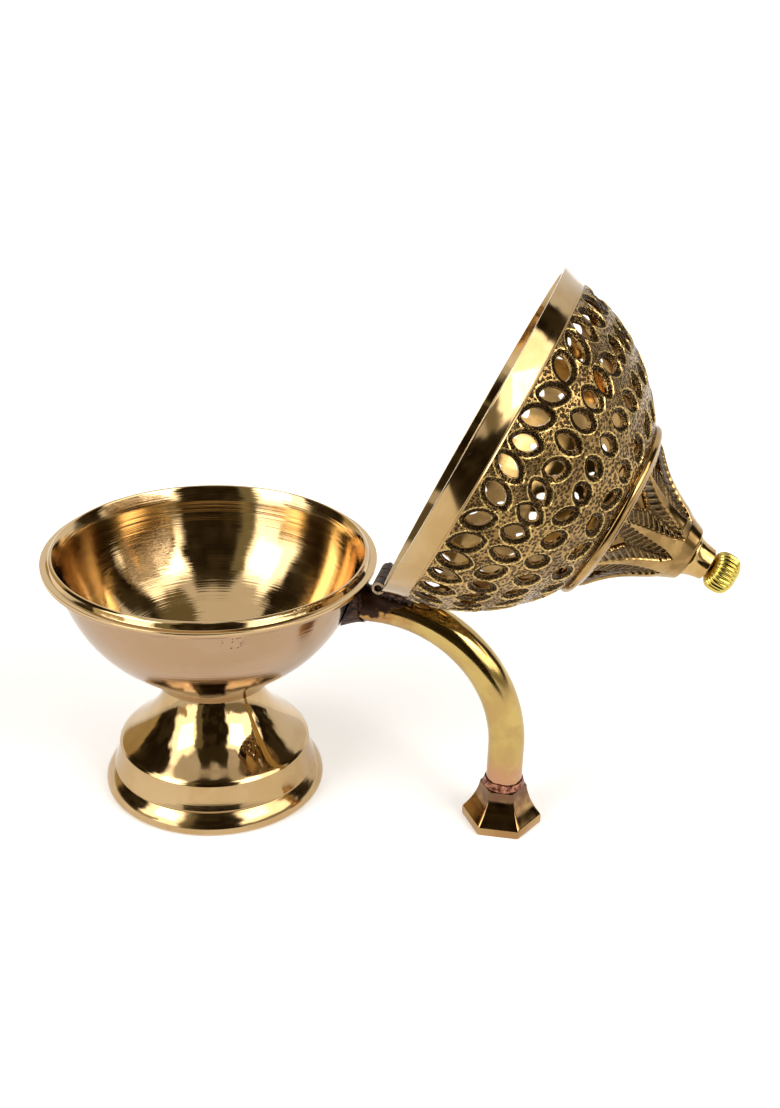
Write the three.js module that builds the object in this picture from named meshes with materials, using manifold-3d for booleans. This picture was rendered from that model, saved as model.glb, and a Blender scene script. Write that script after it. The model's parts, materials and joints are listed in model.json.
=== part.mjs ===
// A handled incense burner of polished brass: a footed bowl, a bent tube handle that stands on its
// own six-sided foot, and a pierced lid on a hinge above the handle. The lid lies open.
// Millimetres, +Z up, floor at z = 0. The bowl's axis is vertical and the handle points to +X.

import * as THREE from 'three';
import { mergeVertices } from 'three/addons/utils/BufferGeometryUtils.js';
import Module from 'manifold-3d';

const wasm = await Module();
wasm.setup();

// Clearances
const seatGap = 0.3; // between pieces that rest on, or are brazed to, each other
const runningGap = 0.3; // around the hinge pin and between knuckles
const lipClearance = 0.8; // between the bowl's lip and the inside of the lid's rim

// Pedestal, from the floor up
const pedestalWall = 2.2;
const pedestalTopPlate = 3;
const footRingInnerRadius = 31;
const footRingFlatRadius = 33.5;
const footRingRadius = 35.1;
const footRingHeight = 7;
const bandBottomRadius = 32.3;
const bandWaistRadius = 30.9;
const bandTopRadius = 30.3;
const bandHeight = 8.4;
const coneHeight = 19.6;
const coneHollow = 8.8; // how far up the cone its steep part starts
const neckRadius = 15;
const neckHeight = 2;

// Bowl, from its base up
const bowlWall = 1.9;
const bowlFloor = 4.2;
const bowlBaseRadius = 16.5;
const bowlFootRadius = 19;
const bowlFootHeight = 1.1;
const bowlFacetRadius = 21.3;
const bowlFacetHeight = 4;
const bowlUnderReach = 5.9; // how its curve sets out from the facet, outwards and upwards
const bowlUnderRise = 6;
const bowlBellyInset = 6; // and how it comes round to the rim
const bowlBellyRise = 11;
const bowlRimRadius = 47.4;
const bowlBellyHeight = 37.1;
const flangeWidth = 3.6;
const flangeThickness = 1.8;
const lidSeatWidth = 1.8; // the flat of the flange, outside the lip
const lipTaper = 1.3;
const lipHeight = 2.1;

// The stud that clamps the bowl to the pedestal
const studRadius = 2.4;
const studDepthInBowl = 3;
const studBelowNut = 2.5;
const washerRadius = 6.5;
const washerThickness = 1;
const nutWall = 1.3;
const nutHeight = 4;

// Handle
const tubeRadius = 5.6;
const tubeWall = 1;
const tubeInsideRim = 9; // where the tube is started, inside the bowl, before it is cut to fit
const handleLevel = 5.2; // the straight stretch outside the bowl's rim
const archWidth = 42;
const archHeight = 43.5;
const handleDrop = 2; // from the hinge's knuckles down to the top of the tube
const footHeight = 13.5;
const footCornerRadius = 12.6;
const footBandHeight = 2.8;
const footSocketWall = 0.5;
const footSocketDepth = 9;
const footTurn = -26.5; // degrees from +X to a corner
const footBrazeHeight = 2.2;
const footBrazeWidth = 0.9;
const rootBrazeLength = 8;
const rootBrazeWidth = 3.7;

// Hinge
const openAngle = 115.2; // degrees from shut to open
const leafStandsOff = 0.5; // between the lid's rim and its leaf
const hingeBelowRim = 0.6; // the pin's axis below the lid's rim plane when shut
const hingeShift = -1.6; // along the pin, from the handle's middle plane
const barrelLength = 13.9;
const barrelRadius = 2;
const lidKnuckleLength = 5.2;
const leafThickness = 1;
const lidLeafLength = 8;
const lidLeafWidth = 12;
const baseLeafLength = 11;
const baseLeafWidth = 11;
const pinRadius = 0.8;
const pinStandsOut = 3;
const pinRecess = 0.8;
const hingeBrazeWidth = 8;
const hingeBrazeLength = 9.5;

// Lid, from its rim plane up
const lidWall = 2.3;
const lidOverhang = 1.1; // beyond the bowl's flange
const lidRimBoreDepth = 2.6;
const lidBandHeight = 6.8;
const lidBandTaper = 2;
const domePoints = [[-0.2, 0.3], [2, 9.6], [6.9, 19.9], [13.5, 28.4], [23.8, 37]]; // inset, rise
const ringHeight = 2.6;
const ringStandsOut = 0.6;
const spireInset = 2.6; // from the ring
const spireHeight = 24;
const spireFlareInset = 7; // how the spire's side sets out from its foot, inwards and upwards
const spireFlareRise = 6.2;
const spireNeckReach = 5.8; // and how it comes round to its top
const spireNeckRise = 10;
const spireTopRadius = 8.2;
const lidTopPlate = 2.6;

// Openings of the dome, by rows from the rim up: how high their middles are above the band, and
// their lengths and widths
const openingRises = [4.8, 15.1, 24.4, 33];
const openingLengths = [7.2, 6, 4.8, 5.6];
const openingWidths = [4.8, 3.8, 3.3, 3.4];

// How many go round in each row, the place of the first in degrees, and the tilts that repeat
const openingRows = [
  { count: 41, first: -71.1, tilts: [0, 30, 40, -35, -30, -13, 25, 30, -30, -33, -8, 4] },
  { count: 42, first: -77.1, tilts: [15, -20, 20, 5, -10, 0, -30, 30, 19, 2, 8, -32] },
  { count: 34, first: -75.6, tilts: [10, -20, -28, 0, 20, 30, -35, -27, 3] },
  { count: 24, first: -57, tilts: [20, 10, -40, 40, -38, 30] },
];

// The three-sided gaps between the leaves on the spire
const leafCount = 10;
const leafFirst = -3; // the place of the first gap, in degrees
const leafGapRise = 3.5;
const leafGapLength = 6;
const leafGapWidth = 4.4;
const openingDraft = 14; // how far inside the wall the sides of an opening would meet

// Knob
const collarHeight = 6;
const collarRadius = 6.2;
const collarTopRadius = 4.6;
const collarRim = 0.6;
const knobHeight = 8.4;
const knobRadius = 5.9;
const knobBevel = 0.9;
const knobReeds = 26;
const reedDepth = 0.45;
const screwRadius = 1.9;
const screwDepthInKnob = 5;
const screwBelowNut = 1.5;
const lidNutHeight = 2.8;

// Facets
const roundSides = 44;
const lidSides = 44;
const midSides = 32;
const smallSides = 20;
const tubeSteps = 24;

// Sizes and places that follow from the ones above
const bandTop = footRingHeight + bandHeight;
const neckBottom = bandTop + coneHeight;
const pedestalTop = neckBottom + neckHeight;
const roof = pedestalTop - pedestalTopPlate;

const bowlBase = pedestalTop + seatGap;
const bowlCurveBase = bowlBase + bowlFacetHeight;
const flangeUnder = bowlCurveBase + bowlBellyHeight;
const flangeTop = flangeUnder + flangeThickness;
const flangeRadius = bowlRimRadius + flangeWidth;
const lipFootRadius = flangeRadius - lidSeatWidth;
const lipRadius = lipFootRadius - lipTaper;

const washerBottom = roof - seatGap - washerThickness;
const nutBottom = washerBottom - seatGap - nutHeight;

const lidPlane = flangeTop + seatGap;
const lidRimRadius = flangeRadius + lidOverhang;
const lidRimBore = lipFootRadius + lipClearance;
const lidBandTopRadius = lidRimRadius - lidBandTaper;
const domeSide = domePoints.map(([inset, rise]) => [lidBandTopRadius - inset, lidBandHeight + rise]);
const [domeTopRadius, ringBase] = domeSide.at(-1);
const ringRadius = domeTopRadius + ringStandsOut;
const spireBase = ringBase + ringHeight;
const spireFootRadius = ringRadius - spireInset;
const lidTop = spireBase + spireHeight;
const lidRoof = lidTop - lidTopPlate;
const lidNutBottom = lidRoof - seatGap - lidNutHeight;
const collarBase = lidTop + seatGap;
const knobBase = collarBase + collarHeight + seatGap;

const hingeReach = lidRimRadius + leafStandsOff + barrelRadius;
const hingeHeight = lidPlane - hingeBelowRim;
const knuckleSweep = barrelRadius + runningGap;
const endKnuckleLength = (barrelLength - lidKnuckleLength) / 2 - runningGap;

const handleTop = hingeHeight - barrelRadius - handleDrop - tubeRadius;
const handleReach = bowlRimRadius + handleLevel + archWidth;
const legTop = handleTop - archHeight;
const tubeHole = tubeRadius + seatGap;
const tubeEnd = footHeight - footSocketDepth + seatGap;

const radians = THREE.MathUtils.degToRad;

// Shape helpers

// A place: where the local origin goes, and the turns in radians, about X first and Z last
function place(x, y, z, turnX = 0, turnY = 0, turnZ = 0) {
  const turn = new THREE.Quaternion().setFromEuler(new THREE.Euler(turnX, turnY, turnZ, 'ZYX'));
  return new THREE.Matrix4().compose(new THREE.Vector3(x, y, z), turn, new THREE.Vector3(1, 1, 1));
}

const here = place(0, 0, 0);
const alongX = place(0, 0, 0, 0, Math.PI / 2);
const alongY = place(0, 0, 0, Math.PI / 2);

// A closed body with shared corners merged, ready to be cut or joined
function toSolid(geometry) {
  const bare = geometry.clone();
  bare.deleteAttribute('normal');
  bare.deleteAttribute('uv');
  const merged = mergeVertices(bare, 1e-4);
  const corners = merged.index.array;
  const kept = [];
  for (let i = 0; i < corners.length; i += 3) {
    const [a, b, c] = corners.slice(i, i + 3);
    if (a !== b && b !== c && c !== a) kept.push(a, b, c);
  }
  const vertProperties = Float32Array.from(merged.attributes.position.array);
  const triVerts = Uint32Array.from(kept);
  return new wasm.Manifold(new wasm.Mesh({ numProp: 3, vertProperties, triVerts }));
}

function toGeometry(solid) {
  const mesh = solid.getMesh();
  const geometry = new THREE.BufferGeometry();
  geometry.setAttribute('position', new THREE.BufferAttribute(mesh.vertProperties, 3));
  geometry.setIndex(Array.from(mesh.triVerts));
  geometry.computeVertexNormals();
  return geometry;
}

// A body turned about Z from an outline of [radius, height] that runs up the outside
function turned(outline, sides = roundSides, placing = here) {
  const points = outline.map(([radius, height]) => new THREE.Vector2(radius, height));
  const onAxis = points[0].x === 0 && points.at(-1).x === 0;
  if (!onAxis) points.push(points[0].clone());
  const upright = place(0, 0, 0, Math.PI / 2);
  return toSolid(new THREE.LatheGeometry(points, sides).applyMatrix4(upright.premultiply(placing)));
}

function rod(radius, bottom, top, sides = smallSides, placing = here) {
  return turned([[0, bottom], [radius, bottom], [radius, top], [0, top]], sides, placing);
}

function sleeve(outer, inner, bottom, top, sides = smallSides, placing = here) {
  return turned([[inner, bottom], [outer, bottom], [outer, top], [inner, top]], sides, placing);
}

// A block from one corner to the opposite one
function block(low, high, placing = here) {
  const size = high.map((value, i) => value - low[i]);
  const centre = high.map((value, i) => (value + low[i]) / 2);
  const geometry = new THREE.BoxGeometry(...size).translate(...centre);
  return toSolid(geometry.applyMatrix4(placing));
}

function nut(bore, bottom, height) {
  const cornerRadius = (bore + nutWall) / Math.cos(Math.PI / 6);
  return rod(cornerRadius, bottom, bottom + height, 6).subtract(rod(bore, bottom - 1, bottom + height + 1));
}

// Points of [radius, height] along a curve with three or four control points
function curveSide(count, ...controls) {
  const vectors = controls.map(([radius, height]) => new THREE.Vector2(radius, height));
  const Curve = controls.length === 3 ? THREE.QuadraticBezierCurve : THREE.CubicBezierCurve;
  return new Curve(...vectors).getPoints(count - 1).map((point) => [point.x, point.y]);
}

// The same outline moved sideways by a distance, away from the axis if positive
function offset(outline, distance) {
  return outline.map(([x, y], i) => {
    const [x0, y0] = outline[Math.max(i - 1, 0)];
    const [x1, y1] = outline[Math.min(i + 1, outline.length - 1)];
    const length = Math.hypot(x1 - x0, y1 - y0);
    return [x + (distance * (y1 - y0)) / length, y - (distance * (x1 - x0)) / length];
  });
}

// Pedestal: a hollow casting with a rounded foot ring, a hollowed band, a sharp edge and a neck
function pedestalBody() {
  const ring = curveSide(
    6,
    [footRingFlatRadius, 0],
    [footRingRadius + 1.5, 0.8],
    [footRingRadius - 0.4, footRingHeight - 2.6],
    [bandBottomRadius - 0.3, footRingHeight],
  );
  const band = curveSide(
    4,
    [bandBottomRadius, footRingHeight + 0.4],
    [bandWaistRadius, footRingHeight + bandHeight / 2],
    [bandTopRadius, bandTop],
  );
  const cone = curveSide(
    7,
    [bandTopRadius - 0.3, bandTop + 0.4],
    [bandTopRadius - 1.2, bandTop + 2.4],
    [neckRadius + 2.2, bandTop + coneHollow],
    [neckRadius, neckBottom],
  );
  const hollow = offset(cone, -pedestalWall).filter(([, height]) => height < roof - 1);
  const hole = studRadius + seatGap;
  return turned([
    ...ring,
    ...band,
    ...cone,
    [neckRadius + 0.5, pedestalTop],
    [hole, pedestalTop],
    [hole, roof],
    [hollow.at(-1)[0] - 0.6, roof],
    ...hollow.reverse(),
    [footRingInnerRadius, 0],
  ]);
}

// Bowl: a turned shell with a flange and a lip that the lid drops over

const bowlSide = [
  [bowlBaseRadius, bowlBase],
  [bowlFootRadius, bowlBase + bowlFootHeight],
  ...curveSide(
    10,
    [bowlFacetRadius, bowlCurveBase],
    [bowlFacetRadius + bowlUnderReach, bowlCurveBase + bowlUnderRise],
    [bowlRimRadius - bowlBellyInset, bowlCurveBase + bowlBellyRise],
    [bowlRimRadius, flangeUnder],
  ),
];

function bowlBody() {
  const hole = studRadius + seatGap;
  const cup = offset(bowlSide.slice(2), -bowlWall).filter(([, height]) => height > bowlBase + bowlFloor);
  return turned([
    [0, bowlBase + studDepthInBowl],
    [hole, bowlBase + studDepthInBowl],
    [hole, bowlBase],
    ...bowlSide,
    [flangeRadius - 0.5, flangeUnder],
    [flangeRadius, flangeUnder + 0.5],
    [flangeRadius, flangeTop],
    [lipFootRadius, flangeTop],
    [lipRadius, flangeTop + lipHeight],
    [lipRadius - 0.5, flangeTop + lipHeight],
    ...cup.reverse(),
    [0, bowlBase + bowlFloor],
  ]);
}

// The room that the bowl takes, with the seat gap around it
function bowlRoom() {
  return turned([
    [0, bowlBase],
    ...offset(bowlSide, seatGap),
    [flangeRadius + seatGap, flangeUnder - seatGap],
    [flangeRadius + seatGap, flangeTop],
    [0, flangeTop],
  ]);
}

function studBody() {
  return rod(studRadius, nutBottom - studBelowNut, bowlBase + studDepthInBowl - seatGap);
}

function washerBody() {
  return sleeve(washerRadius, studRadius + seatGap, washerBottom, washerBottom + washerThickness);
}

// Handle: a tube that leaves the bowl level, arches over and drops to its foot
class HandlePath extends THREE.Curve {
  getPoint(t) {
    const level = handleLevel + tubeInsideRim;
    const arch = (Math.PI / 4) * (archWidth + archHeight);
    const gone = t * (level + arch + legTop - tubeEnd);
    const turn = THREE.MathUtils.clamp((gone - level) / arch, 0, 1) * (Math.PI / 2);
    const before = Math.min(gone - level, 0);
    const after = Math.max(gone - level - arch, 0);
    const x = handleReach - archWidth * (1 - Math.sin(turn)) + before;
    return new THREE.Vector3(x, 0, legTop + archHeight * Math.cos(turn) - after);
  }
}

function tube(radius, bore) {
  const shape = new THREE.Shape().absarc(0, 0, radius, 0, 2 * Math.PI);
  if (bore > 0) shape.holes.push(new THREE.Path().absarc(0, 0, bore, 0, 2 * Math.PI, true));
  const settings = { steps: tubeSteps, extrudePath: new HandlePath(), curveSegments: 9 };
  return toSolid(new THREE.ExtrudeGeometry(shape, settings));
}

function handleTubeBody() {
  return tube(tubeRadius, tubeRadius - tubeWall).subtract(bowlRoom());
}

// The foot: a six-sided bell with hollowed faces and a socket for the tube
function handleFootBody() {
  const topRadius = (tubeHole + footSocketWall) / Math.cos(Math.PI / 6);
  const bell = curveSide(
    6,
    [footCornerRadius, footBandHeight],
    [topRadius + 0.6, footHeight / 2 + 1.5],
    [topRadius, footHeight],
  );
  const outline = [[0, 0], [footCornerRadius, 0], ...bell, [0, footHeight]];
  const socket = rod(tubeHole, footHeight - footSocketDepth, footHeight + 1, midSides);
  return turned(outline, 6, place(0, 0, 0, 0, 0, radians(footTurn))).subtract(socket);
}

function footBrazeBody() {
  return turned([
    [tubeHole, 0],
    [tubeHole + footBrazeWidth, 0],
    [tubeHole + footBrazeWidth / 2, footBrazeHeight / 2],
    [tubeHole + 0.2, footBrazeHeight],
    [tubeHole, footBrazeHeight],
  ], midSides);
}

// The fillet of braze where the tube meets the bowl, turned about the tube's level stretch
function rootBrazeBody() {
  const placing = place(bowlRimRadius + 1 - rootBrazeLength, 0, handleTop).multiply(alongX);
  const fillet = turned([
    [tubeHole, 0],
    [tubeHole + rootBrazeWidth, 0],
    [tubeHole + rootBrazeWidth / 3, rootBrazeLength * 0.7],
    [tubeHole + 0.4, rootBrazeLength],
    [tubeHole, rootBrazeLength],
  ], midSides, placing);
  return fillet.subtract(bowlRoom()).subtract(hingeBraze(seatGap));
}

// Hinge, about its own pin: +X away from the bowl, and the pin along Y

// Where the free corner of the lid's leaf lies when the lid is open
const open = radians(openAngle);
const leafFace = barrelRadius - leafThickness;
const cornerX = -leafFace * Math.cos(open) + lidLeafLength * Math.sin(open);
const cornerZ = leafFace * Math.sin(open) + lidLeafLength * Math.cos(open);

// The fixed leaf slopes down so that its top comes up to that corner, which is the open stop
const stopDistance = leafFace - seatGap;
const leafSlope = Math.atan2(-cornerZ, cornerX) - Math.asin(stopDistance / Math.hypot(cornerX, cornerZ));
const sloped = place(0, 0, 0, 0, leafSlope);

// A length of barrel that starts at a distance from the barrel's near end
function knuckle(start, length) {
  const end = barrelLength / 2 - start;
  return sleeve(barrelRadius, pinRadius + runningGap, end - length, end, smallSides, alongY);
}

function pinHole() {
  return rod(pinRadius + runningGap, -barrelLength, barrelLength, smallSides, alongY);
}

function baseLeafBody() {
  const halfRoom = lidKnuckleLength / 2 + runningGap;
  const middleRoom = rod(knuckleSweep, -halfRoom, halfRoom, smallSides, alongY);
  const low = [0, -baseLeafWidth / 2, -barrelRadius];
  const high = [baseLeafLength, baseLeafWidth / 2, -leafFace];
  const near = knuckle(0, endKnuckleLength);
  const far = knuckle(barrelLength - endKnuckleLength, endKnuckleLength);
  return block(low, high, sloped).subtract(pinHole()).add(near).add(far).subtract(middleRoom);
}

function lidLeafBody() {
  const neckLow = [-barrelRadius, -lidKnuckleLength / 2, 0];
  const neckHigh = [-leafFace, lidKnuckleLength / 2, knuckleSweep + 1];
  const plateLow = [-barrelRadius, -lidLeafWidth / 2, knuckleSweep];
  const plateHigh = [-leafFace, lidLeafWidth / 2, lidLeafLength];
  const middle = knuckle(endKnuckleLength + runningGap, lidKnuckleLength);
  return block(neckLow, neckHigh).subtract(pinHole()).add(middle).add(block(plateLow, plateHigh));
}

function pinBody() {
  const far = -barrelLength / 2 - pinStandsOut;
  return rod(pinRadius, far, barrelLength / 2 - pinRecess, smallSides, alongY);
}

// The braze between the fixed leaf and the top of the tube, in the burner's own frame
function hingeBraze(grow) {
  const depth = handleDrop + tubeRadius;
  const under = hingeHeight - barrelRadius;
  const low = [hingeReach - grow, -hingeBrazeWidth / 2 - grow, under - depth];
  const high = [hingeReach + hingeBrazeLength + grow, hingeBrazeWidth / 2 + grow, under + 1];
  const leafRoom = block(
    [-depth, -barrelLength, -barrelRadius - seatGap + grow],
    [baseLeafLength + depth, barrelLength, depth],
    place(hingeReach, 0, hingeHeight).multiply(sloped),
  );
  return block(low, high).subtract(leafRoom);
}

function hingeBrazeBody() {
  const placing = place(hingeReach, 0, hingeHeight).multiply(alongY);
  const barrelRoom = rod(barrelRadius + seatGap, -barrelLength, barrelLength, smallSides, placing);
  return hingeBraze(0).subtract(tube(tubeHole, 0)).subtract(barrelRoom);
}

// Lid, above its own rim plane

const lidSide = [
  [lidRimRadius, 0],
  [lidRimRadius - lidBandTaper / 2 - 0.2, lidBandHeight / 2],
  [lidBandTopRadius, lidBandHeight],
  ...domeSide,
  [ringRadius, ringBase + 0.4],
  [ringRadius - 0.3, spireBase - 0.4],
];
const spireSide = curveSide(
  6,
  [spireFootRadius, spireBase],
  [spireFootRadius - spireFlareInset, spireBase + spireFlareRise],
  [spireTopRadius + spireNeckReach, spireBase + spireNeckRise],
  [spireTopRadius, lidTop],
);

function lidShell() {
  const spire = offset(spireSide, -lidWall).filter(([, height]) => height < lidRoof - 1);
  const hole = screwRadius + seatGap;
  return turned([
    ...lidSide,
    ...spireSide,
    [hole, lidTop],
    [hole, lidRoof],
    [spire.at(-1)[0] - 0.3, lidRoof],
    ...spire.reverse(),
    ...offset(domeSide, -lidWall).reverse(),
    [lidRimBore, lidRimBoreDepth],
    [lidRimBore, 0],
  ], lidSides);
}

// The lid's outside radius at a height, and how far its wall leans in there
function lidSurface(height) {
  const side = [...lidSide, ...spireSide];
  const upper = side.findIndex(([, z]) => z > height);
  const [lowRadius, low] = side[upper - 1];
  const [highRadius, high] = side[upper];
  const share = (height - low) / (high - low);
  const lean = Math.atan2(lowRadius - highRadius, high - low);
  return { radius: lowRadius + share * (highRadius - lowRadius), lean };
}

// A cutter square to the wall and narrower inwards, as a casting's draft is. Its angle is counted
// round the lid from -Y, and its tilt leans its top towards the larger angles.
function cutter(sides, length, width, height, angle, tilt) {
  const outside = 2 * lidWall;
  const depth = outside + openingDraft;
  const grow = depth / openingDraft;
  const geometry = new THREE.ConeGeometry(1, depth, sides);
  geometry.translate(0, depth / 2 - outside, 0);
  geometry.scale((grow * width) / 2, 1, (grow * length) / 2);
  const { radius, lean } = lidSurface(height);
  const placing = place(0, 0, 0, 0, 0, radians(angle))
    .multiply(place(0, -radius, height, -lean))
    .multiply(place(0, 0, 0, 0, radians(tilt)));
  return toSolid(geometry.applyMatrix4(placing));
}

function lidBody() {
  let lid = lidShell();
  for (const [i, { count, first, tilts }] of openingRows.entries()) {
    const height = lidBandHeight + openingRises[i];
    for (let j = 0; j < count; j += 1) {
      const angle = first + (j * 360) / count;
      const tilt = tilts[j % tilts.length];
      lid = lid.subtract(cutter(6, openingLengths[i], openingWidths[i], height, angle, tilt));
    }
  }
  for (let j = 0; j < leafCount; j += 1) {
    const angle = leafFirst + (j * 360) / leafCount;
    lid = lid.subtract(cutter(3, leafGapLength, leafGapWidth, spireBase + leafGapRise, angle, 0));
  }
  return lid;
}

// The braze between the lid's band and its hinge leaf
function lidBrazeBody() {
  const face = hingeReach - barrelRadius - seatGap;
  const halfWidth = lidLeafWidth / 2 - 1;
  const low = [face - lidBandTaper - 2, hingeShift - halfWidth, knuckleSweep + 0.5 - hingeBelowRim];
  const high = [face, hingeShift + halfWidth, lidLeafLength - hingeBelowRim];
  const grown = lidSide.slice(0, 5).map(([radius, height]) => [radius + seatGap, height]);
  return block(low, high).subtract(turned([[0, 0], ...grown, [0, grown.at(-1)[1]]], lidSides));
}

// Knob, its collar, and the screw that holds both on the lid

function collarBody() {
  const bore = screwRadius + seatGap;
  return turned([
    [bore, 0],
    [collarRadius, 0],
    [collarRadius, collarRim],
    [collarRadius - 0.5, collarRim + 0.4],
    [(collarRadius + collarTopRadius) / 2 - 0.3, collarHeight / 2],
    [collarTopRadius, collarHeight],
    [bore, collarHeight],
  ], midSides);
}

function knobBody() {
  const points = [];
  for (let i = 0; i < 2 * knobReeds; i += 1) {
    const radius = knobRadius - knobBevel - (i % 2) * reedDepth;
    const turn = (i / knobReeds) * Math.PI;
    points.push(new THREE.Vector2(radius * Math.cos(turn), radius * Math.sin(turn)));
  }
  const depth = knobHeight - 2 * knobBevel;
  const settings = { depth, bevelThickness: knobBevel, bevelSize: knobBevel, bevelSegments: 2 };
  const geometry = new THREE.ExtrudeGeometry(new THREE.Shape(points), settings);
  geometry.translate(0, 0, knobBevel);
  return toSolid(geometry).subtract(rod(screwRadius + seatGap, -1, screwDepthInKnob));
}

function knobScrewBody() {
  return rod(screwRadius, lidNutBottom - screwBelowNut, knobBase + screwDepthInKnob - seatGap);
}

// Finishes

const castBrass = { color: 0xd9b98c, roughness: 0.18, metalness: 1 };
const agedBrass = { color: 0xa37a45, roughness: 0.4, metalness: 1 };
const yellowBrass = { color: 0xc9a544, roughness: 0.3, metalness: 1 };
const lemonBrass = { color: 0xe3d23c, roughness: 0.3, metalness: 1 };
const scorchedBrass = { color: 0x2b211c, roughness: 0.6, metalness: 0.8 };
const copperBraze = { color: 0xb06f5c, roughness: 0.55, metalness: 1 };
const steel = { color: 0x9a9a9c, roughness: 0.35, metalness: 1 };

function piece(name, solid, finish, x = 0, y = 0, z = 0) {
  const mesh = new THREE.Mesh(toGeometry(solid), new THREE.MeshStandardMaterial(finish));
  mesh.name = name;
  mesh.position.set(x, y, z);
  return mesh;
}

// Assembly

const pin = [hingeReach, hingeShift, hingeHeight];
const footTop = footHeight + seatGap;
const studNut = nut(studRadius + seatGap, nutBottom, nutHeight);
const knobNut = nut(screwRadius + seatGap, lidNutBottom, lidNutHeight);

const stand = new THREE.Group();
stand.add(
  piece('pedestal', pedestalBody(), castBrass),
  piece('bowl', bowlBody(), castBrass),
  piece('bowl_stud', studBody(), steel),
  piece('stud_washer', washerBody(), steel),
  piece('stud_nut', studNut, steel),
  piece('handle_tube', handleTubeBody(), yellowBrass),
  piece('handle_foot', handleFootBody(), castBrass, handleReach),
  piece('handle_foot_braze', footBrazeBody(), copperBraze, handleReach, 0, footTop),
  piece('handle_root_braze', rootBrazeBody(), scorchedBrass),
  piece('hinge_base_leaf', baseLeafBody(), scorchedBrass, ...pin),
  piece('hinge_base_braze', hingeBrazeBody(), scorchedBrass),
  piece('hinge_pin', pinBody(), scorchedBrass, ...pin),
);

// The lid's group has the hinge pin as its origin, so turning it opens the lid
const lid = new THREE.Group();
const toAxis = [-hingeReach, -hingeShift];
lid.add(
  piece('pierced_lid', lidBody(), agedBrass, ...toAxis, hingeBelowRim),
  piece('hinge_lid_leaf', lidLeafBody(), scorchedBrass),
  piece('hinge_lid_braze', lidBrazeBody(), scorchedBrass, ...toAxis, hingeBelowRim),
  piece('knob_collar', collarBody(), castBrass, ...toAxis, hingeBelowRim + collarBase),
  piece('knob', knobBody(), lemonBrass, ...toAxis, hingeBelowRim + knobBase),
  piece('knob_screw', knobScrewBody(), steel, ...toAxis, hingeBelowRim),
  piece('knob_nut', knobNut, steel, ...toAxis, hingeBelowRim),
);
lid.position.set(...pin);
lid.rotation.y = open;

// The origin is on the floor, under the middle of the whole object's box
const burner = new THREE.Group();
burner.add(stand, lid);
burner.updateMatrixWorld(true);
const extent = new THREE.Box3().setFromObject(burner, true);
const middle = extent.getCenter(new THREE.Vector3());
burner.position.set(-middle.x, -middle.y, -extent.min.z);

export default burner;
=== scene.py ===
# %% [markdown]
# # A handled incense burner in polished brass
# The burner is a footed bowl, a bent tube handle that stands on its own six-sided foot, and a
# pierced lid that lies open on a hinge. Its measured solids come from a CAD model. This lesson
# dresses them: each part gets a finer surface worked out with numpy, and a brass of its own.

# %% Load the measured frame
import json
import math

import bpy
import numpy as np
from mathutils import Matrix, Vector


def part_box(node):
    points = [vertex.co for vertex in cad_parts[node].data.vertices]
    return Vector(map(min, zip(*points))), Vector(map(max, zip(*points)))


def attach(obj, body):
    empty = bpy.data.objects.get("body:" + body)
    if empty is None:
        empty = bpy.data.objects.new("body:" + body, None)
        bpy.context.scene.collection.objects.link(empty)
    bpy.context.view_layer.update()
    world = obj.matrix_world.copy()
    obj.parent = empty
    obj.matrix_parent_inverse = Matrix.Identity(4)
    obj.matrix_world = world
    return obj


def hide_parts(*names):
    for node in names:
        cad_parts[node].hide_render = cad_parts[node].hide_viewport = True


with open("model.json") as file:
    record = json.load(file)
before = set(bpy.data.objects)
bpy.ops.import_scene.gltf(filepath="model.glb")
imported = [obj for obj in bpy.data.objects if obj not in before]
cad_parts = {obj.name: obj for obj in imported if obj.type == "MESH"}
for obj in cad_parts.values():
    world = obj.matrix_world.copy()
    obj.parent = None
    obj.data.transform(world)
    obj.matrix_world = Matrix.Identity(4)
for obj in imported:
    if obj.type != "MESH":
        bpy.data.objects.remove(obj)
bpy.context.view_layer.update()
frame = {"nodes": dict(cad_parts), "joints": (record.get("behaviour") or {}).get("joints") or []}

# %% [markdown]
# ## Where things are
# All sizes below are in millimetres about the bowl's own axis, or about the lid's own axis above
# its rim, because that is how a turner would measure them. Two small functions bring such points
# into the frame's metres. The lid's one also opens it, so every lid piece is made upright.

# %% The two working frames
MM = 0.001
foot_low, foot_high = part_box("pedestal")
axis_x = (foot_low.x + foot_high.x) / 2 / MM
hinge = frame["joints"][0]
pin = np.array(hinge["pos_m"]) / MM
open_angle = math.radians(-hinge["range_deg"][0])
hinge_reach = pin[0] - axis_x
RIM_ABOVE_PIN = 0.6


def on_stand(points):
    """Millimetres about the bowl's axis, moved to that axis in the row frame, in metres."""
    return (points + [axis_x, 0, 0]) * MM


def by_the_pin(points):
    """Millimetres about the hinge pin, with the lid open: turned about Y by the open angle."""
    x, y, z = points.T
    c, s = math.cos(open_angle), math.sin(open_angle)
    return (np.stack([x * c + z * s, y, z * c - x * s], 1) + pin) * MM


def on_lid(points):
    """Millimetres about the lid's axis and above its rim plane, carried open about the pin."""
    return by_the_pin(points + [-hinge_reach, -pin[1], RIM_ABOVE_PIN])


print("bowl axis at x", round(axis_x, 2), "pin at", pin.round(2), "reach", round(hinge_reach, 2))

# %% [markdown]
# ## From numbers to faces
# A surface is a grid of points, and its faces join neighbouring rows and columns. Where a grid
# ends on a middle point, a fan of triangles closes it, so that no piece has a hole or a doubled
# pole. Writing the grid out by hand, or adding primitives one by one, would give the same faces,
# but whole arrays are quicker and one function then serves every piece.

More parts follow.
